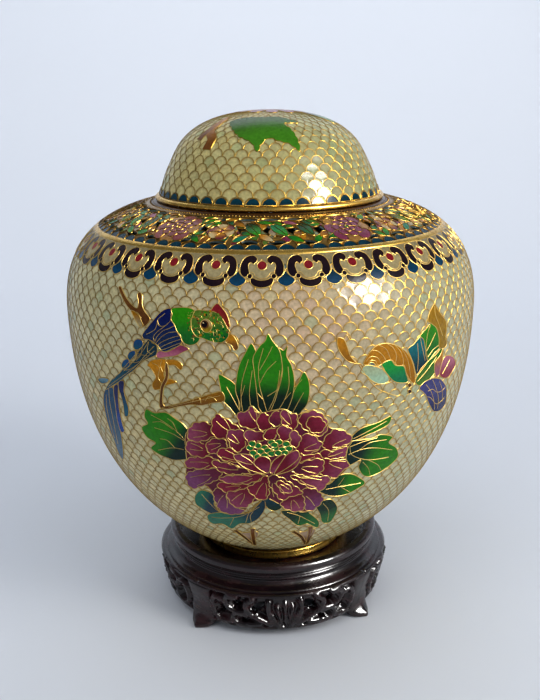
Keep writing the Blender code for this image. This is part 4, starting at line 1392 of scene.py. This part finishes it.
# The wall inside, the gilt edges and the enamel's rows: radii, heights and lengths in mm.
INNER_TONE = TURQUOISE * 0.6 + PEARL * 0.3
SIDE_LENGTH = 153.3
MOUTH_OUTER, MOUTH_INNER, MOUTH_HEIGHT = 44.2, 35.7, 167.28
JAR_WALL, LID_WALL = 1.0, 1.5
JAR_SCALES, LID_SCALES = 97, 46
GREEN_SCALES = 0.06
BORDER_HEADS, BORDER_RADIUS, BORDER_TURN = 30, 78.9, -2.1
EDGE_LOBES, LOBE_FOOT = 76, 66.3
GILDING = 0.19
# The gilt bands on the jar, as (v, lift), and the lid's gilt rim, as (radius, height).
TOP_BAND = [(150.2, -0.62), (150.3, -0.20), (150.7, -0.06), (151.3, -0.03), (151.9, -0.06),
            (152.3, -0.20), (152.4, -0.62)]
FOOT_BAND = [(0.0, -0.62), (0.0, -0.1), (0.5, -0.05), (1.0, -0.1), (1.1, -0.6)]
RIM_SECTION = [(41.4, 167.62), (43.2, 167.62), (43.7, 167.8), (43.88, 168.2), (43.86, 168.7),
               (43.5, 169.15), (43.1, 169.3), (42.8, 169.45), (41.4, 169.48)]
# The collar and the foot ring: inwards from the box's side, from its bottom or top, height.
COLLAR_SECTION = [
    (1.38, "bottom", 0.2), (1.2, "bottom", 0.0), (0.15, "bottom", 0.0), (0.02, "bottom", 0.2),
    (0.02, "bottom", 1.0), (0.18, "bottom", 1.4), (0.18, "top", -1.2), (0.02, "top", -0.8),
    (0.04, "top", -0.3), (0.3, "top", 0.0), (1.1, "top", 0.0), (1.38, "top", -0.3)]
FOOT_RING_SECTION = [
    (2.98, "bottom", 0.3), (2.7, "bottom", 0.0), (0.4, "bottom", 0.0), (0.06, "bottom", 0.35),
    (0.02, "bottom", 1.2), (0.3, "bottom", 1.9), (0.3, "top", -0.6), (0.02, "top", -0.35),
    (0.3, "top", 0.0), (2.98, "top", 0.0)]
# The leaves on the lid's top: base, tip and width.
TOP_LEAVES = [((8.0, 8.0), (27.0, 14.0), 9.0), ((-6.0, 10.0), (-22.0, 20.0), 9.0),
              ((2.0, 12.0), (8.0, 32.0), 9.0), ((12.0, -2.0), (26.0, -8.0), 7.5)]
# The beads round the neck: radius, how many, and the turn of the row in beads.
BEAD_ROWS = ((44.9, 230, 0.0), (45.9, 234, 0.5))
BEAD_RADIUS = 0.40


def wrapped(angle):
    """An angle brought between minus pi and pi."""
    return (angle + math.pi) % (2 * math.pi) - math.pi


def scale_tone(tint=(1.0, 1.0, 1.0)):
    """Cream cells with painted light, rosy over the front's middle and a grey sheen on the right, and
    green beside it.
    """
    def tone(angles, v):
        count = len(angles)
        mix = RNG.random((count, 1))
        pick = RNG.random((count, 1))
        turn = wrapped(angles)[:, None]
        # A rosy spot of painted warm light on the front, green that comes and goes, and a painted grey
        # sheen on the right.
        rosy = np.exp(-((turn - 0.12) / 0.42) ** 2 - ((v - 126.0) / 26.0) ** 2)
        green = 0.5 + 0.5 * np.sin(1.0 * turn - 0.3) * np.cos((v - 40.0) / 60.0)
        base = CREAM * (1 - 0.4 * mix) + PEARL * 0.4 * mix
        base = base * (1 - 0.7 * green) + (CELADON * 0.6 + PEARL * 0.4) * 0.7 * green
        # Painted sheen: cells on the right turn pearl grey.
        grey = 0.5 * np.clip(turn - 0.15, 0, 0.6) / 0.6 * np.clip((2.4 - turn) / 0.8, 0, 1)
        base = base * (1 - grey) + SHEEN_PEARL * grey
        # The rosy spot is painted warm light, stronger in some cells than others.
        rosy = rosy * (0.4 + 0.6 * mix)
        base = base * (1 - rosy) + SHELL * rosy
        base = np.where(pick < GREEN_SCALES, CELADON * 0.5 + base * 0.5, base)
        return base * tint * np.clip(RNG.normal(0.93, 0.05, (count, 1)), 0.75, 1.05)
    return tone


def thicken(item, thickness):
    """Gives a sheet its thickness, inwards."""
    solid = item.modifiers.new("thickness", "SOLIDIFY")
    solid.thickness = thickness * MM
    solid.offset = -1.0
    solid.use_even_offset = True


def pierced_sheet(outlines, inner, outer, lift, step=2.2):
    """A ring-shaped sheet on the shoulder, between two radii and with openings."""
    count = 192
    margin = 0.6
    points = [tuple(p) for radius in (inner, outer) for p in circle(radius, count)]
    edges = loop_edges(0, count) + loop_edges(count, count)
    for outline in outlines:
        edges += loop_edges(len(points), len(outline))
        points += [tuple(p) for p in outline]
    spread = np.arange(-outer, outer, step)
    free = np.stack(np.meshgrid(spread, spread), -1).reshape(-1, 2)
    reach = np.hypot(free[:, 0], free[:, 1])
    free = free[(reach > inner + margin) & (reach < outer - margin)]
    points += [tuple(p) for p in free + RNG.uniform(-0.03, 0.03, free.shape)]
    verts, tris = triangulated(points, edges)
    centre = verts[tris].mean(1)
    reach = np.hypot(centre[:, 0], centre[:, 1])
    keep = (reach > inner * math.cos(math.pi / count)) & (reach < outer)
    for outline in outlines:
        keep &= ~inside(centre, outline)
    used, index = np.unique(tris[keep], return_inverse=True)
    return on_shoulder(verts[used], lift), index.reshape(-1, 3)


def make_shell(outlines):
    """The jar's wall: its bottom, its round side, the pierced shoulder and the mouth."""
    steps = 192
    angles = np.linspace(0, 2 * math.pi, steps, endpoint=False)
    grid = np.stack([JAR.ring(angles, np.full(steps, v), SKIN)
                     for v in np.linspace(0.0, SIDE_LENGTH, 62)])
    lower = np.concatenate([np.zeros((1, steps, 3)), grid[:1] * (0.5, 0.5, 1.0)])
    lower[0, :, 2] = grid[0, 0, 2]
    lower[0, :, :2] = grid[0, :, :2] * 0.02
    grid = np.concatenate([lower, grid])
    shell = Build()
    shell.add(grid, grid_faces(len(grid), steps, closed=True), INNER_TONE)
    shell.add(grid[0], [tuple(range(steps))[::-1]], PEARL * 0.6)
    shell.add(*pierced_sheet(outlines, INNER_EDGE, OUTER_EDGE, SKIN), INNER_TONE)
    lip = [np.column_stack([circle(radius, steps), np.full(steps, MOUTH_HEIGHT)])
           for radius in (MOUTH_OUTER, MOUTH_INNER)]
    mouth = np.stack([on_shoulder(circle(INNER_EDGE, steps), SKIN), *lip])
    shell.add(mouth, grid_faces(3, steps, closed=True), BROWN * 0.3)
    skin = shell.make("jar_shell", INSIDE, "enamel",
                      nodes=("jar_hip", "jar_body", "openwork_shoulder"))
    thicken(skin, JAR_WALL)


def lay_border(enamel, wires):
    """The cloud border: one head and drop, laid again and again round the jar."""
    border = Picture(2.0)
    draw_border(border)
    turns = [math.radians(BORDER_TURN + 360.0 / BORDER_HEADS * k) for k in range(BORDER_HEADS)]
    border.lay(enamel, wires, [lambda p, lift, t=t: JAR.ring(
        p[:, 0] / BORDER_RADIUS + t, p[:, 1], lift) for t in turns])


def lay_shoulder(enamel, outlines):
    """The enamel of the pierced shoulder and its wires."""
    shoulder = Picture(1.8)
    draw_ground(shoulder)
    for outline in outlines:
        shoulder.hole(outline, 0.36)
    for number, start in enumerate(SPRAY_STARTS):
        draw_spray(shoulder, start, *BLOSSOM_LOOKS[-number % len(BLOSSOM_LOOKS)])
    for k in range(EDGE_LOBES):
        t = np.linspace(0, math.pi, 9)
        spread = 360.0 / EDGE_LOBES * (k + 0.49 * np.cos(t))
        arch = np.array([around(s, LOBE_FOOT - 2.5 * up) for s, up in zip(spread, np.sin(t))])
        shoulder.field(arch, DEEP_TEAL * 0.7, TEAL * 0.45, arch[0], arch[4], 0.30)
    wires = Build()
    shoulder.lay(enamel, wires, [on_shoulder], base=-0.50, patch=-0.28, top=-0.06)
    # The shoulder's wires take the darker gilt of painted shade.
    wires.make("shoulder_wires", SHADED_GILT, "gilt_brass")


def make_gilding(outlines):
    """The gilt sheet round the openings and the two rows of beads at the neck."""
    gilding = Build()
    ring = np.linspace(0, 2 * math.pi, 6, endpoint=False)
    fan = [(a, b, 6) for a, b in loop_edges(0, 6)]
    for radius, count, turn in BEAD_ROWS:
        for k in range(count):
            centre = around(360.0 * (k + turn) / count, radius)
            bead = [centre + BEAD_RADIUS * np.array([math.cos(t), math.sin(t)]) for t in ring]
            gilding.add(np.concatenate([on_shoulder(bead, -0.42), on_shoulder([centre], -0.06)]),
                        fan)
    gilding.add(*pierced_sheet(outlines, inner=44.3, outer=66.9, lift=-0.40, step=1.6))
    # The sheet takes the darker gilt of painted shade.
    thicken(gilding.make("shoulder_gilding", SHADED_GILT, "gilt_brass"), GILDING)


def make_bands():
    """The gilt band over the border and the one at the foot."""
    trim = Build()
    band(trim, JAR, TOP_BAND)
    band(trim, JAR, FOOT_BAND)
    trim.make("jar_bands", GILT, "gilt_brass")


def make_jar():
    """The jar: its shell, the enamel and the wires on it."""
    outlines = shoulder_openings()
    make_shell(outlines)
    front, back = Picture(), Picture()
    for draw in (draw_cluster, draw_bird, draw_peony, draw_butterfly):
        draw(front)
    draw_back_spray(back)

    def hidden(angle, v):
        flat = np.stack([wrapped(angle) * JAR.radius(v), v], -1)
        far = np.stack([wrapped(angle - math.pi) * JAR.radius(v), v], -1)
        return front.covers(flat) | back.covers(far)

    cells, scale_wires = Build(), Build()
    fish_scales(JAR, JAR_SCALES, start=0.7, stop=148.5, rise=2.85, hidden=hidden,
                cells=cells, wires=scale_wires, tone=scale_tone())
    enamel, wires = Build(), Build()
    front.lay(enamel, wires, [JAR.place])
    back.lay(enamel, wires, [lambda p, lift: JAR.place(p, lift, math.pi)])
    lay_border(enamel, wires)
    lay_shoulder(enamel, outlines)
    make_gilding(outlines)
    make_bands()
    cells.make("scale_cells", ENAMEL, "enamel")
    scale_wires.make("scale_wires", WIRE, "gilt_brass")
    enamel.make("jar_picture", ENAMEL, "enamel")
    wires.make("picture_wires", BRIGHT_WIRE, "gilt_brass")


def make_lid_shell():
    """The lid's wall, from its edge over the top and back along the inside."""
    v = np.concatenate([np.linspace(2.25, 18.7, 12), np.linspace(20.0, LID.length, 26)])
    outer, inner = ([(max(r, 0.02), z) for r, z in zip(*LID.lifted(v, lift))]
                    for lift in (SKIN, -LID_WALL))
    inner[0] = (inner[0][0], outer[0][1])
    shell = Build()
    turned(shell, outer + inner[::-1], 160, INNER_TONE)
    shell.make("lid_shell", INSIDE, "lid_enamel", nodes=("lid_dome",))


def draw_lid(art):
    """The lid's picture: the twig and leaf that the photo shows, and a blossom on top."""
    art.field(stroke([(-24.6, -29.4), (-21.6, -25.6), (-21.6, -20.4), (-16.0, -14.0)], 4.2),
              BROWN, AMBER)
    art.field(stroke([(-27.0, -21.4), (-21.0, -18.0), (-15.0, -12.0)], 3.0), BROWN, AMBER * 0.8)
    leaf = on_crown(LID_LEAF, LID_VIEW)
    art.field(toothed(leaf, 3.0, 0.4), DEEP_GREEN * 0.5 + OLIVE * 0.5,
              BRIGHT_GREEN * 0.55 + OLIVE * 0.45, (0.0, -16.0), (2.0, -34.0))
    for vein in ([(0.0, -14.0), (3.0, -24.0), (11.2, -35.5)],
                 [(0.0, -14.0), (-2.0, -26.0), (-4.6, -37.5)],
                 [(-1.0, -18.0), (-7.0, -23.0), (-12.5, -25.0)]):
        art.line(smooth_line(vein), 0.34)
    for base, tip, width in TOP_LEAVES:
        green_leaf(art, base, tip, width)
        art.line(smooth_line([base, tip]), 0.34)
    centre = np.array([1.0, 3.0])
    small_flower(art, centre, 14.0, 11, PLUM, MAUVE, EMERALD, 1.0, 10.0)
    small_flower(art, centre, 8.5, 8, CRIMSON, PINK * 0.8, BRIGHT_GREEN)


def make_lid():
    """The lid: its shell, enamel, wires and rim."""
    make_lid_shell()
    art = Picture()
    draw_lid(art)

    def hidden(angle, v):
        return art.covers(plan(angle, LID.length - v))

    cells, wires, enamel = Build(), Build(), Build()
    fish_scales(LID, LID_SCALES, start=2.3, stop=54.0, rise=2.9, hidden=hidden,
                cells=cells, wires=wires, tone=scale_tone((0.92, 0.93, 0.74)))
    art.lay(enamel, wires, [LID.crown], top=-0.26)
    row = Picture()
    row.field(scallop(5.0, 2.5, 2.3), DEEP_TEAL * 0.8, TEAL * 0.6, (0, 2.3), (0, 4.8), 0.34)
    turns = [2 * math.pi * k / LID_SCALES for k in range(LID_SCALES)]
    row.lay(enamel, wires, [lambda p, lift, t=t: LID.place(p, lift, t) for t in turns])
    cells.make("lid_cells", LID_ENAMEL, "lid_enamel")
    enamel.make("lid_picture", LID_ENAMEL, "lid_enamel")
    wires.make("lid_wires", WIRE, "gilt_brass")
    rim = Build()
    turned(rim, RIM_SECTION)
    rim.make("lid_rim_ring", GILT, "gilt_brass", nodes=("lid_rim",))


def make_ring(name, low, high, section, node):
    """A gilt ring in a solid's box, with a section of (inwards, bottom or top, height)."""
    bottom, top, reach = low[2] / MM, high[2] / MM, high[0] / MM
    level = {"bottom": bottom, "top": top}
    ring = Build()
    turned(ring, [(reach - inward, level[edge] + height) for inward, edge, height in section])
    ring.make(name, GILT, "gilt_brass", nodes=(node,))


def make_rings():
    """The gilt collar in the mouth and the ring under the foot."""
    low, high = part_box("neck_collar")
    make_ring("collar_ring", low, high, COLLAR_SECTION, "neck_collar")
    low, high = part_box("foot_ring")
    make_ring("foot_gilding", low, high, FOOT_RING_SECTION, "foot_ring")


# The stand: degrees that it is turned by, heights, radii and the apron's wall, in mm. The
# carving is laid out flat at the radius APRON_ARC.
FOOT_TURN = 5.5
STAND_RADIUS = 48.0
CARVING_TOP, CARVING_HEIGHT, CARVING_DEPTH, CARVING_PITCH = 19.5, 16.5, 2.0, 0.62
APRON_WALL = 4.4
TOE_ROUND, FOOT_DEPTH = 3.2, 7.6
APRON_TOP, APRON_BOTTOM = 20.5, 3.0
APRON_ARC = 47.0


def apron_radius(height):
    """The apron's radius at a height; it tapers towards its foot."""
    share = np.clip((CARVING_TOP - np.asarray(height, float)) / CARVING_HEIGHT, 0, 1)
    return STAND_RADIUS - 3.5 * share


def apron_openings():
    """One bay's openings in (along the arc, height): as in the solids."""
    result = []
    for side in (-1, 1):
        for degrees, share, length, width, tilt in BAY_OPENINGS:
            height = CARVING_TOP - share * CARVING_HEIGHT
            shrink = APRON_ARC / (STAND_RADIUS + APRON_TOP - height)
            across, down = oval(length, width, side * tilt, 16)
            centre = math.radians(side * degrees) * APRON_ARC
            result.append(np.stack([centre + across * shrink, height - down], -1))
    return result


def near_line(points, line):
    """The distance from flat points to a line of points."""
    line = smooth_line(line, 5)
    a, b = line[:-1][None], line[1:][None]
    p = points[:, None]
    t = np.clip(np.sum((p - a) * (b - a), -1) / np.maximum(np.sum((b - a) ** 2, -1), TINY), 0, 1)
    return np.min(np.hypot(*np.moveaxis(p - a - t[..., None] * (b - a), -1, 0)), 1)


# The apron's vines on one half of a bay: their course, half width and height.
VINES = [
    ([(2.0, 4.6), (5.4, 8.0), (6.6, 12.6), (6.2, 17.5)], 1.3, 1.0),
    ([(5.6, 6.0), (10.0, 8.6), (14.4, 11.4), (15.6, 15.4), (12.6, 18.2)], 1.5, 1.3),
    ([(10.0, 6.0), (13.8, 5.6), (19.4, 5.4), (21.6, 8.0), (19.4, 10.6), (15.6, 9.6)], 1.3, 1.2),
    ([(15.0, 11.0), (20.4, 11.4), (23.6, 14.0), (23.4, 17.6), (19.4, 18.4)], 1.4, 1.2),
    ([(22.0, 6.0), (27.0, 5.4), (29.8, 8.6), (30.4, 12.6), (28.6, 16.6), (25.2, 16.4)], 1.4, 1.3),
]
# The openings of one bay's half: degrees from its middle, share of the way down, length,
# width and tilt.
BAY_OPENINGS = [(13.0, 0.36, 7.4, 4.2, 34.0), (20.5, 0.72, 4.6, 3.0, -12.0),
                (24.0, 0.30, 5.6, 3.2, -28.0), (32.0, 0.52, 6.8, 3.2, 66.0)]
# The turned top's outline (radius, height): its lip, its neck, the seat's rim and the seat.
STAND_SECTION = [
    (0.02, 19.55), (43.4, 19.55), (45.6, 19.55), (46.05, 19.75), (46.18, 20.2), (45.95, 20.75),
    (45.3, 21.05), (44.2, 21.25), (43.1, 21.65), (42.3, 22.3), (41.85, 23.1), (41.75, 23.9),
    (42.1, 24.15), (42.55, 24.35), (42.7, 24.7), (42.5, 25.1), (42.2, 25.25), (42.5, 25.4),
    (42.95, 25.7), (43.0, 26.05), (42.8, 26.35), (42.5, 26.5), (43.0, 26.75), (43.6, 27.2),
    (43.92, 27.9), (44.0, 28.7), (43.92, 29.5), (43.6, 30.3), (43.0, 30.8), (42.2, 31.0),
    (41.2, 30.95), (40.4, 30.6), (39.95, 30.0), (39.85, 29.0), (39.85, 25.75), (39.6, 25.7),
    (0.02, 25.7)]
# The feet, from the toe up: height, reach from the axis and width.
FOOT_PROFILE = [
    (0.0, 49.7, 7.4), (0.25, 50.0, 7.7), (0.9, 50.25, 8.6), (1.5, 50.1, 9.6), (2.1, 49.6, 10.4),
    (2.9, 48.6, 11.2), (4.0, 47.2, 11.6), (6.0, 46.2, 11.7), (9.0, 46.3, 11.6), (12.0, 47.0, 11.6),
    (15.0, 47.8, 11.6), (18.0, 48.4, 11.6), (19.6, 48.4, 11.2)]


def fan_leaf(s, h):
    """The fan leaf in the middle of a bay, with its ribs."""
    angle = np.arctan2(s, np.maximum(h - 2.0, 0.2))
    reach = np.hypot(s, h - 2.0)
    length = 15.5 - 5.0 * angle
    shape = np.clip(1 - (reach / length) ** 6, 0, 1) * np.clip((0.64 - angle) / 0.10, 0, 1)
    ribs = 0.66 + 0.34 * np.cos(angle * 24.0)
    return 3.9 * shape * ribs * np.clip(reach / 6.0, 0.5, 1) - CARVING_DEPTH


def apron_relief(points):
    """How far the carving stands out at (along the arc, height), within one bay."""
    s, h = np.abs(points[:, 0]), points[:, 1]
    half = np.stack([s, h], -1)
    relief = np.full(len(points), -CARVING_DEPTH)
    for line, width, lift in VINES:
        away = near_line(half, line)
        ridge = (lift + 2.2) * np.sqrt(np.clip(1 - (away / width) ** 2, 0, 1)) - CARVING_DEPTH
        crease = 0.5 * np.exp(-(away / 0.28) ** 2)
        relief = np.maximum(relief, ridge - crease)
    relief = np.maximum(relief, fan_leaf(s, h))
    rail = np.clip(1 - ((h - 3.9) / 1.1) ** 4, 0, 1)
    head = np.clip(1 - ((h - 20.0) / 0.9) ** 4, 0, 1)
    return np.maximum(relief, np.maximum(2.75 * rail, 2.5 * head) - CARVING_DEPTH)


def apron_bay(outlines):
    """One bay laid flat: its points, its triangles and the edges on its outline."""
    bay = math.pi / 2 * APRON_ARC
    columns = 74
    edge = np.linspace(-bay / 2, bay / 2, columns)
    points = [(s, APRON_BOTTOM) for s in edge] + [(s, APRON_TOP) for s in edge]
    edges = [(row * columns + k, row * columns + k + 1)
             for row in (0, 1) for k in range(columns - 1)]
    sides = np.linspace(APRON_BOTTOM, APRON_TOP, 18)
    for s in (-bay / 2, bay / 2):
        points += [(s, h) for h in sides[1:-1]]
    for outline in outlines:
        edges += loop_edges(len(points), len(outline))
        points += [tuple(p) for p in outline]
    spread = np.meshgrid(np.arange(-bay / 2 + 0.5, bay / 2 - 0.3, CARVING_PITCH),
                         np.arange(APRON_BOTTOM + 0.5, APRON_TOP - 0.3, CARVING_PITCH))
    points += [tuple(p) for p in np.stack(spread, -1).reshape(-1, 2)]
    verts, tris = triangulated(points, edges, 1e-6)
    centre = verts[tris].mean(1)
    keep = np.ones(len(tris), bool)
    for outline in outlines:
        keep &= ~inside(centre, outline)
    tris = tris[keep]
    pairs = {(int(tri[k]), int(tri[(k + 1) % 3])): True for tri in tris for k in range(3)}
    return verts, tris, [pair for pair in pairs if pair[::-1] not in pairs]


def carved_apron(wood):
    """The pierced apron, bay by bay, with its relief and its plain inner side."""
    outlines = apron_openings()
    verts, tris, border = apron_bay(outlines)
    relief = apron_relief(verts)
    for outline in outlines:
        away = near_line(verts, np.vstack([outline, outline[:1]]))
        relief = np.where(away < 0.8, np.minimum(relief, 0.2 + away * 1.2), relief)
    top_edge = np.clip((APRON_TOP - verts[:, 1]) / 0.8, 0, 1)
    low_edge = np.clip((verts[:, 1] - APRON_BOTTOM) / 0.8, 0, 1)
    soft_edge = np.minimum(top_edge, low_edge)
    outer = apron_radius(verts[:, 1]) + relief * soft_edge - 0.5 * (1 - soft_edge)
    inner = apron_radius(verts[:, 1]) - APRON_WALL
    count = len(verts)
    faces = [tuple(t) for t in tris] + [tuple(t[::-1] + count) for t in tris]
    faces += [(b, a, a + count, b + count) for a, b in border]
    for number in range(4):
        angle = math.radians(FOOT_TURN + 90.0 * number) + verts[:, 0] / APRON_ARC
        layers = [np.column_stack([plan(angle, radius), verts[:, 1]]) for radius in (outer, inner)]
        wood.add(np.concatenate(layers), faces)


def carved_feet(wood):
    """The four feet: rounded legs that flare out to toes."""
    across = np.linspace(-1, 1, 15)
    for number in range(4):
        angle = math.radians(FOOT_TURN + 45.0 + 90.0 * number)
        out = np.array([math.sin(angle), -math.cos(angle)])
        side = np.array([-out[1], out[0]])
        loops = []
        for height, reach, width in FOOT_PROFILE:
            near_toe = np.clip(1.6 - height / 4.0, 0.12, 1.0)
            front = reach - TOE_ROUND * near_toe * np.abs(across) ** 1.1 - 0.28
            front = front - 0.5 * np.abs(across) ** 6
            loop = [out * r + side * (width / 2 * a) for a, r in zip(across, front)]
            loop += [out * (reach - FOOT_DEPTH) + side * (width / 2 * a) for a in across[::-1]]
            loops.append([(*p, height) for p in loop])
        count = len(loops[0])
        faces = grid_faces(len(loops), count, closed=True)
        faces.append(tuple(range(count))[::-1])
        faces.append(tuple((len(loops) - 1) * count + k for k in range(count)))
        wood.add(loops, faces)


def make_stand():
    """The carved stand: its turned top, its apron and its feet."""
    wood = Build()
    turned(wood, STAND_SECTION, 224)
    carved_apron(wood)
    carved_feet(wood)
    wood.make("stand_wood", ROSEWOOD, "rosewood", nodes=("stand",))


def make_floor():
    """The pale paper: a floor that sweeps up behind the pot."""
    front, back, sweep, top, side = -1500.0, 450.0, 500.0, 1800.0, 2000
    depth = [(front, 0.0), (back, 0.0)]
    depth += [(back + sweep * math.sin(a), sweep - sweep * math.cos(a))
              for a in np.linspace(0, math.pi / 2, 16)[1:]]
    depth.append((back + sweep, top))
    wide = np.linspace(-side, side, 9)
    grid = [[(x, y, z - 0.05) for x in wide] for y, z in depth]
    room = Build()
    room.add(grid, grid_faces(len(depth), len(wide)))
    paper, tree, main = shader("floor_paper", colour(222, 226, 234), 0.0, 0.8)
    bump(tree, main, texture(tree, 30.0), 0.1, 0.001)
    floor = in_scene("floor", room.mesh("floor", paper))


def area(name, azimuth, elevation, distance, size, power, tint, aim=(0, 0, 0.1)):
    """A rectangular light at a direction and distance from what it is aimed at."""
    lamp = bpy.data.lights.new(name, "AREA")
    lamp.shape = "RECTANGLE"
    lamp.size, lamp.size_y = size
    lamp.energy = power
    lamp.color = tint
    item = in_scene(name, lamp)
    a, e = math.radians(azimuth), math.radians(elevation)
    aim = Vector(aim)
    item.location = aim + distance * Vector((
        math.sin(a) * math.cos(e), -math.cos(a) * math.cos(e), math.sin(e)))
    item.rotation_euler = (aim - item.location).to_track_quat("-Z", "Y").to_euler()
    return item


def make_lights():
    """The window, its glare on the glaze, and soft light from above, beside and behind."""
    belly = (0, 0, 0.14)
    area("window", azimuth=58.0, elevation=26.0, distance=1.1, size=(0.46, 0.50), power=4.9,
         tint=(1.0, 0.99, 0.97), aim=belly)
    glare = area("glare", azimuth=55.0, elevation=27.0, distance=1.1, size=(0.28, 0.44),
                 power=46.0, tint=(1.0, 0.99, 0.97), aim=belly)
    glare.visible_diffuse = False
    sky = area("sky", azimuth=-15.0, elevation=72.0, distance=1.6, size=(1.8, 1.4), power=11.0,
               tint=(0.92, 0.96, 1.0))
    fill = area("fill", azimuth=-45.0, elevation=20.0, distance=1.8, size=(1.2, 1.4), power=4.5,
                tint=(0.94, 0.97, 1.0))
    wash = area("wash", azimuth=180.0, elevation=60.0, distance=1.2, size=(1.6, 0.6), power=7.9,
                tint=(0.93, 0.96, 1.0))
    wash.rotation_euler = Vector((0.0, 1.0, -0.5)).to_track_quat("-Z", "Y").to_euler()
    for lamp in (sky, fill, wash):
        lamp.visible_glossy = False
    world = bpy.data.worlds.new("soft_room")
    world.use_nodes = True
    fill_in(world.node_tree.nodes["Background"],
            {"Color": (0.86, 0.90, 0.97, 1.0), "Strength": 0.20})
    bpy.context.scene.world = world


def make_camera():
    """The camera at the photo's viewing angle."""
    lens = bpy.data.cameras.new("camera")
    lens.lens = CAMERA_LENS
    lens.sensor_width = CAMERA_SENSOR
    lens.clip_start = 0.01
    lens.shift_x = (PHOTO_WIDTH / 2 - PHOTO_MIDDLE[0]) / PHOTO_HEIGHT
    camera = in_scene("camera", lens)
    camera.location = (CAMERA_PLACE * MM).tolist()
    camera.rotation_euler = camera_turn().to_euler()
    bpy.context.scene.camera = camera
    bpy.context.scene.view_settings.view_transform = "Standard"


make_jar()
make_lid()
make_rings()
make_stand()
make_floor()
make_lights()
make_camera()
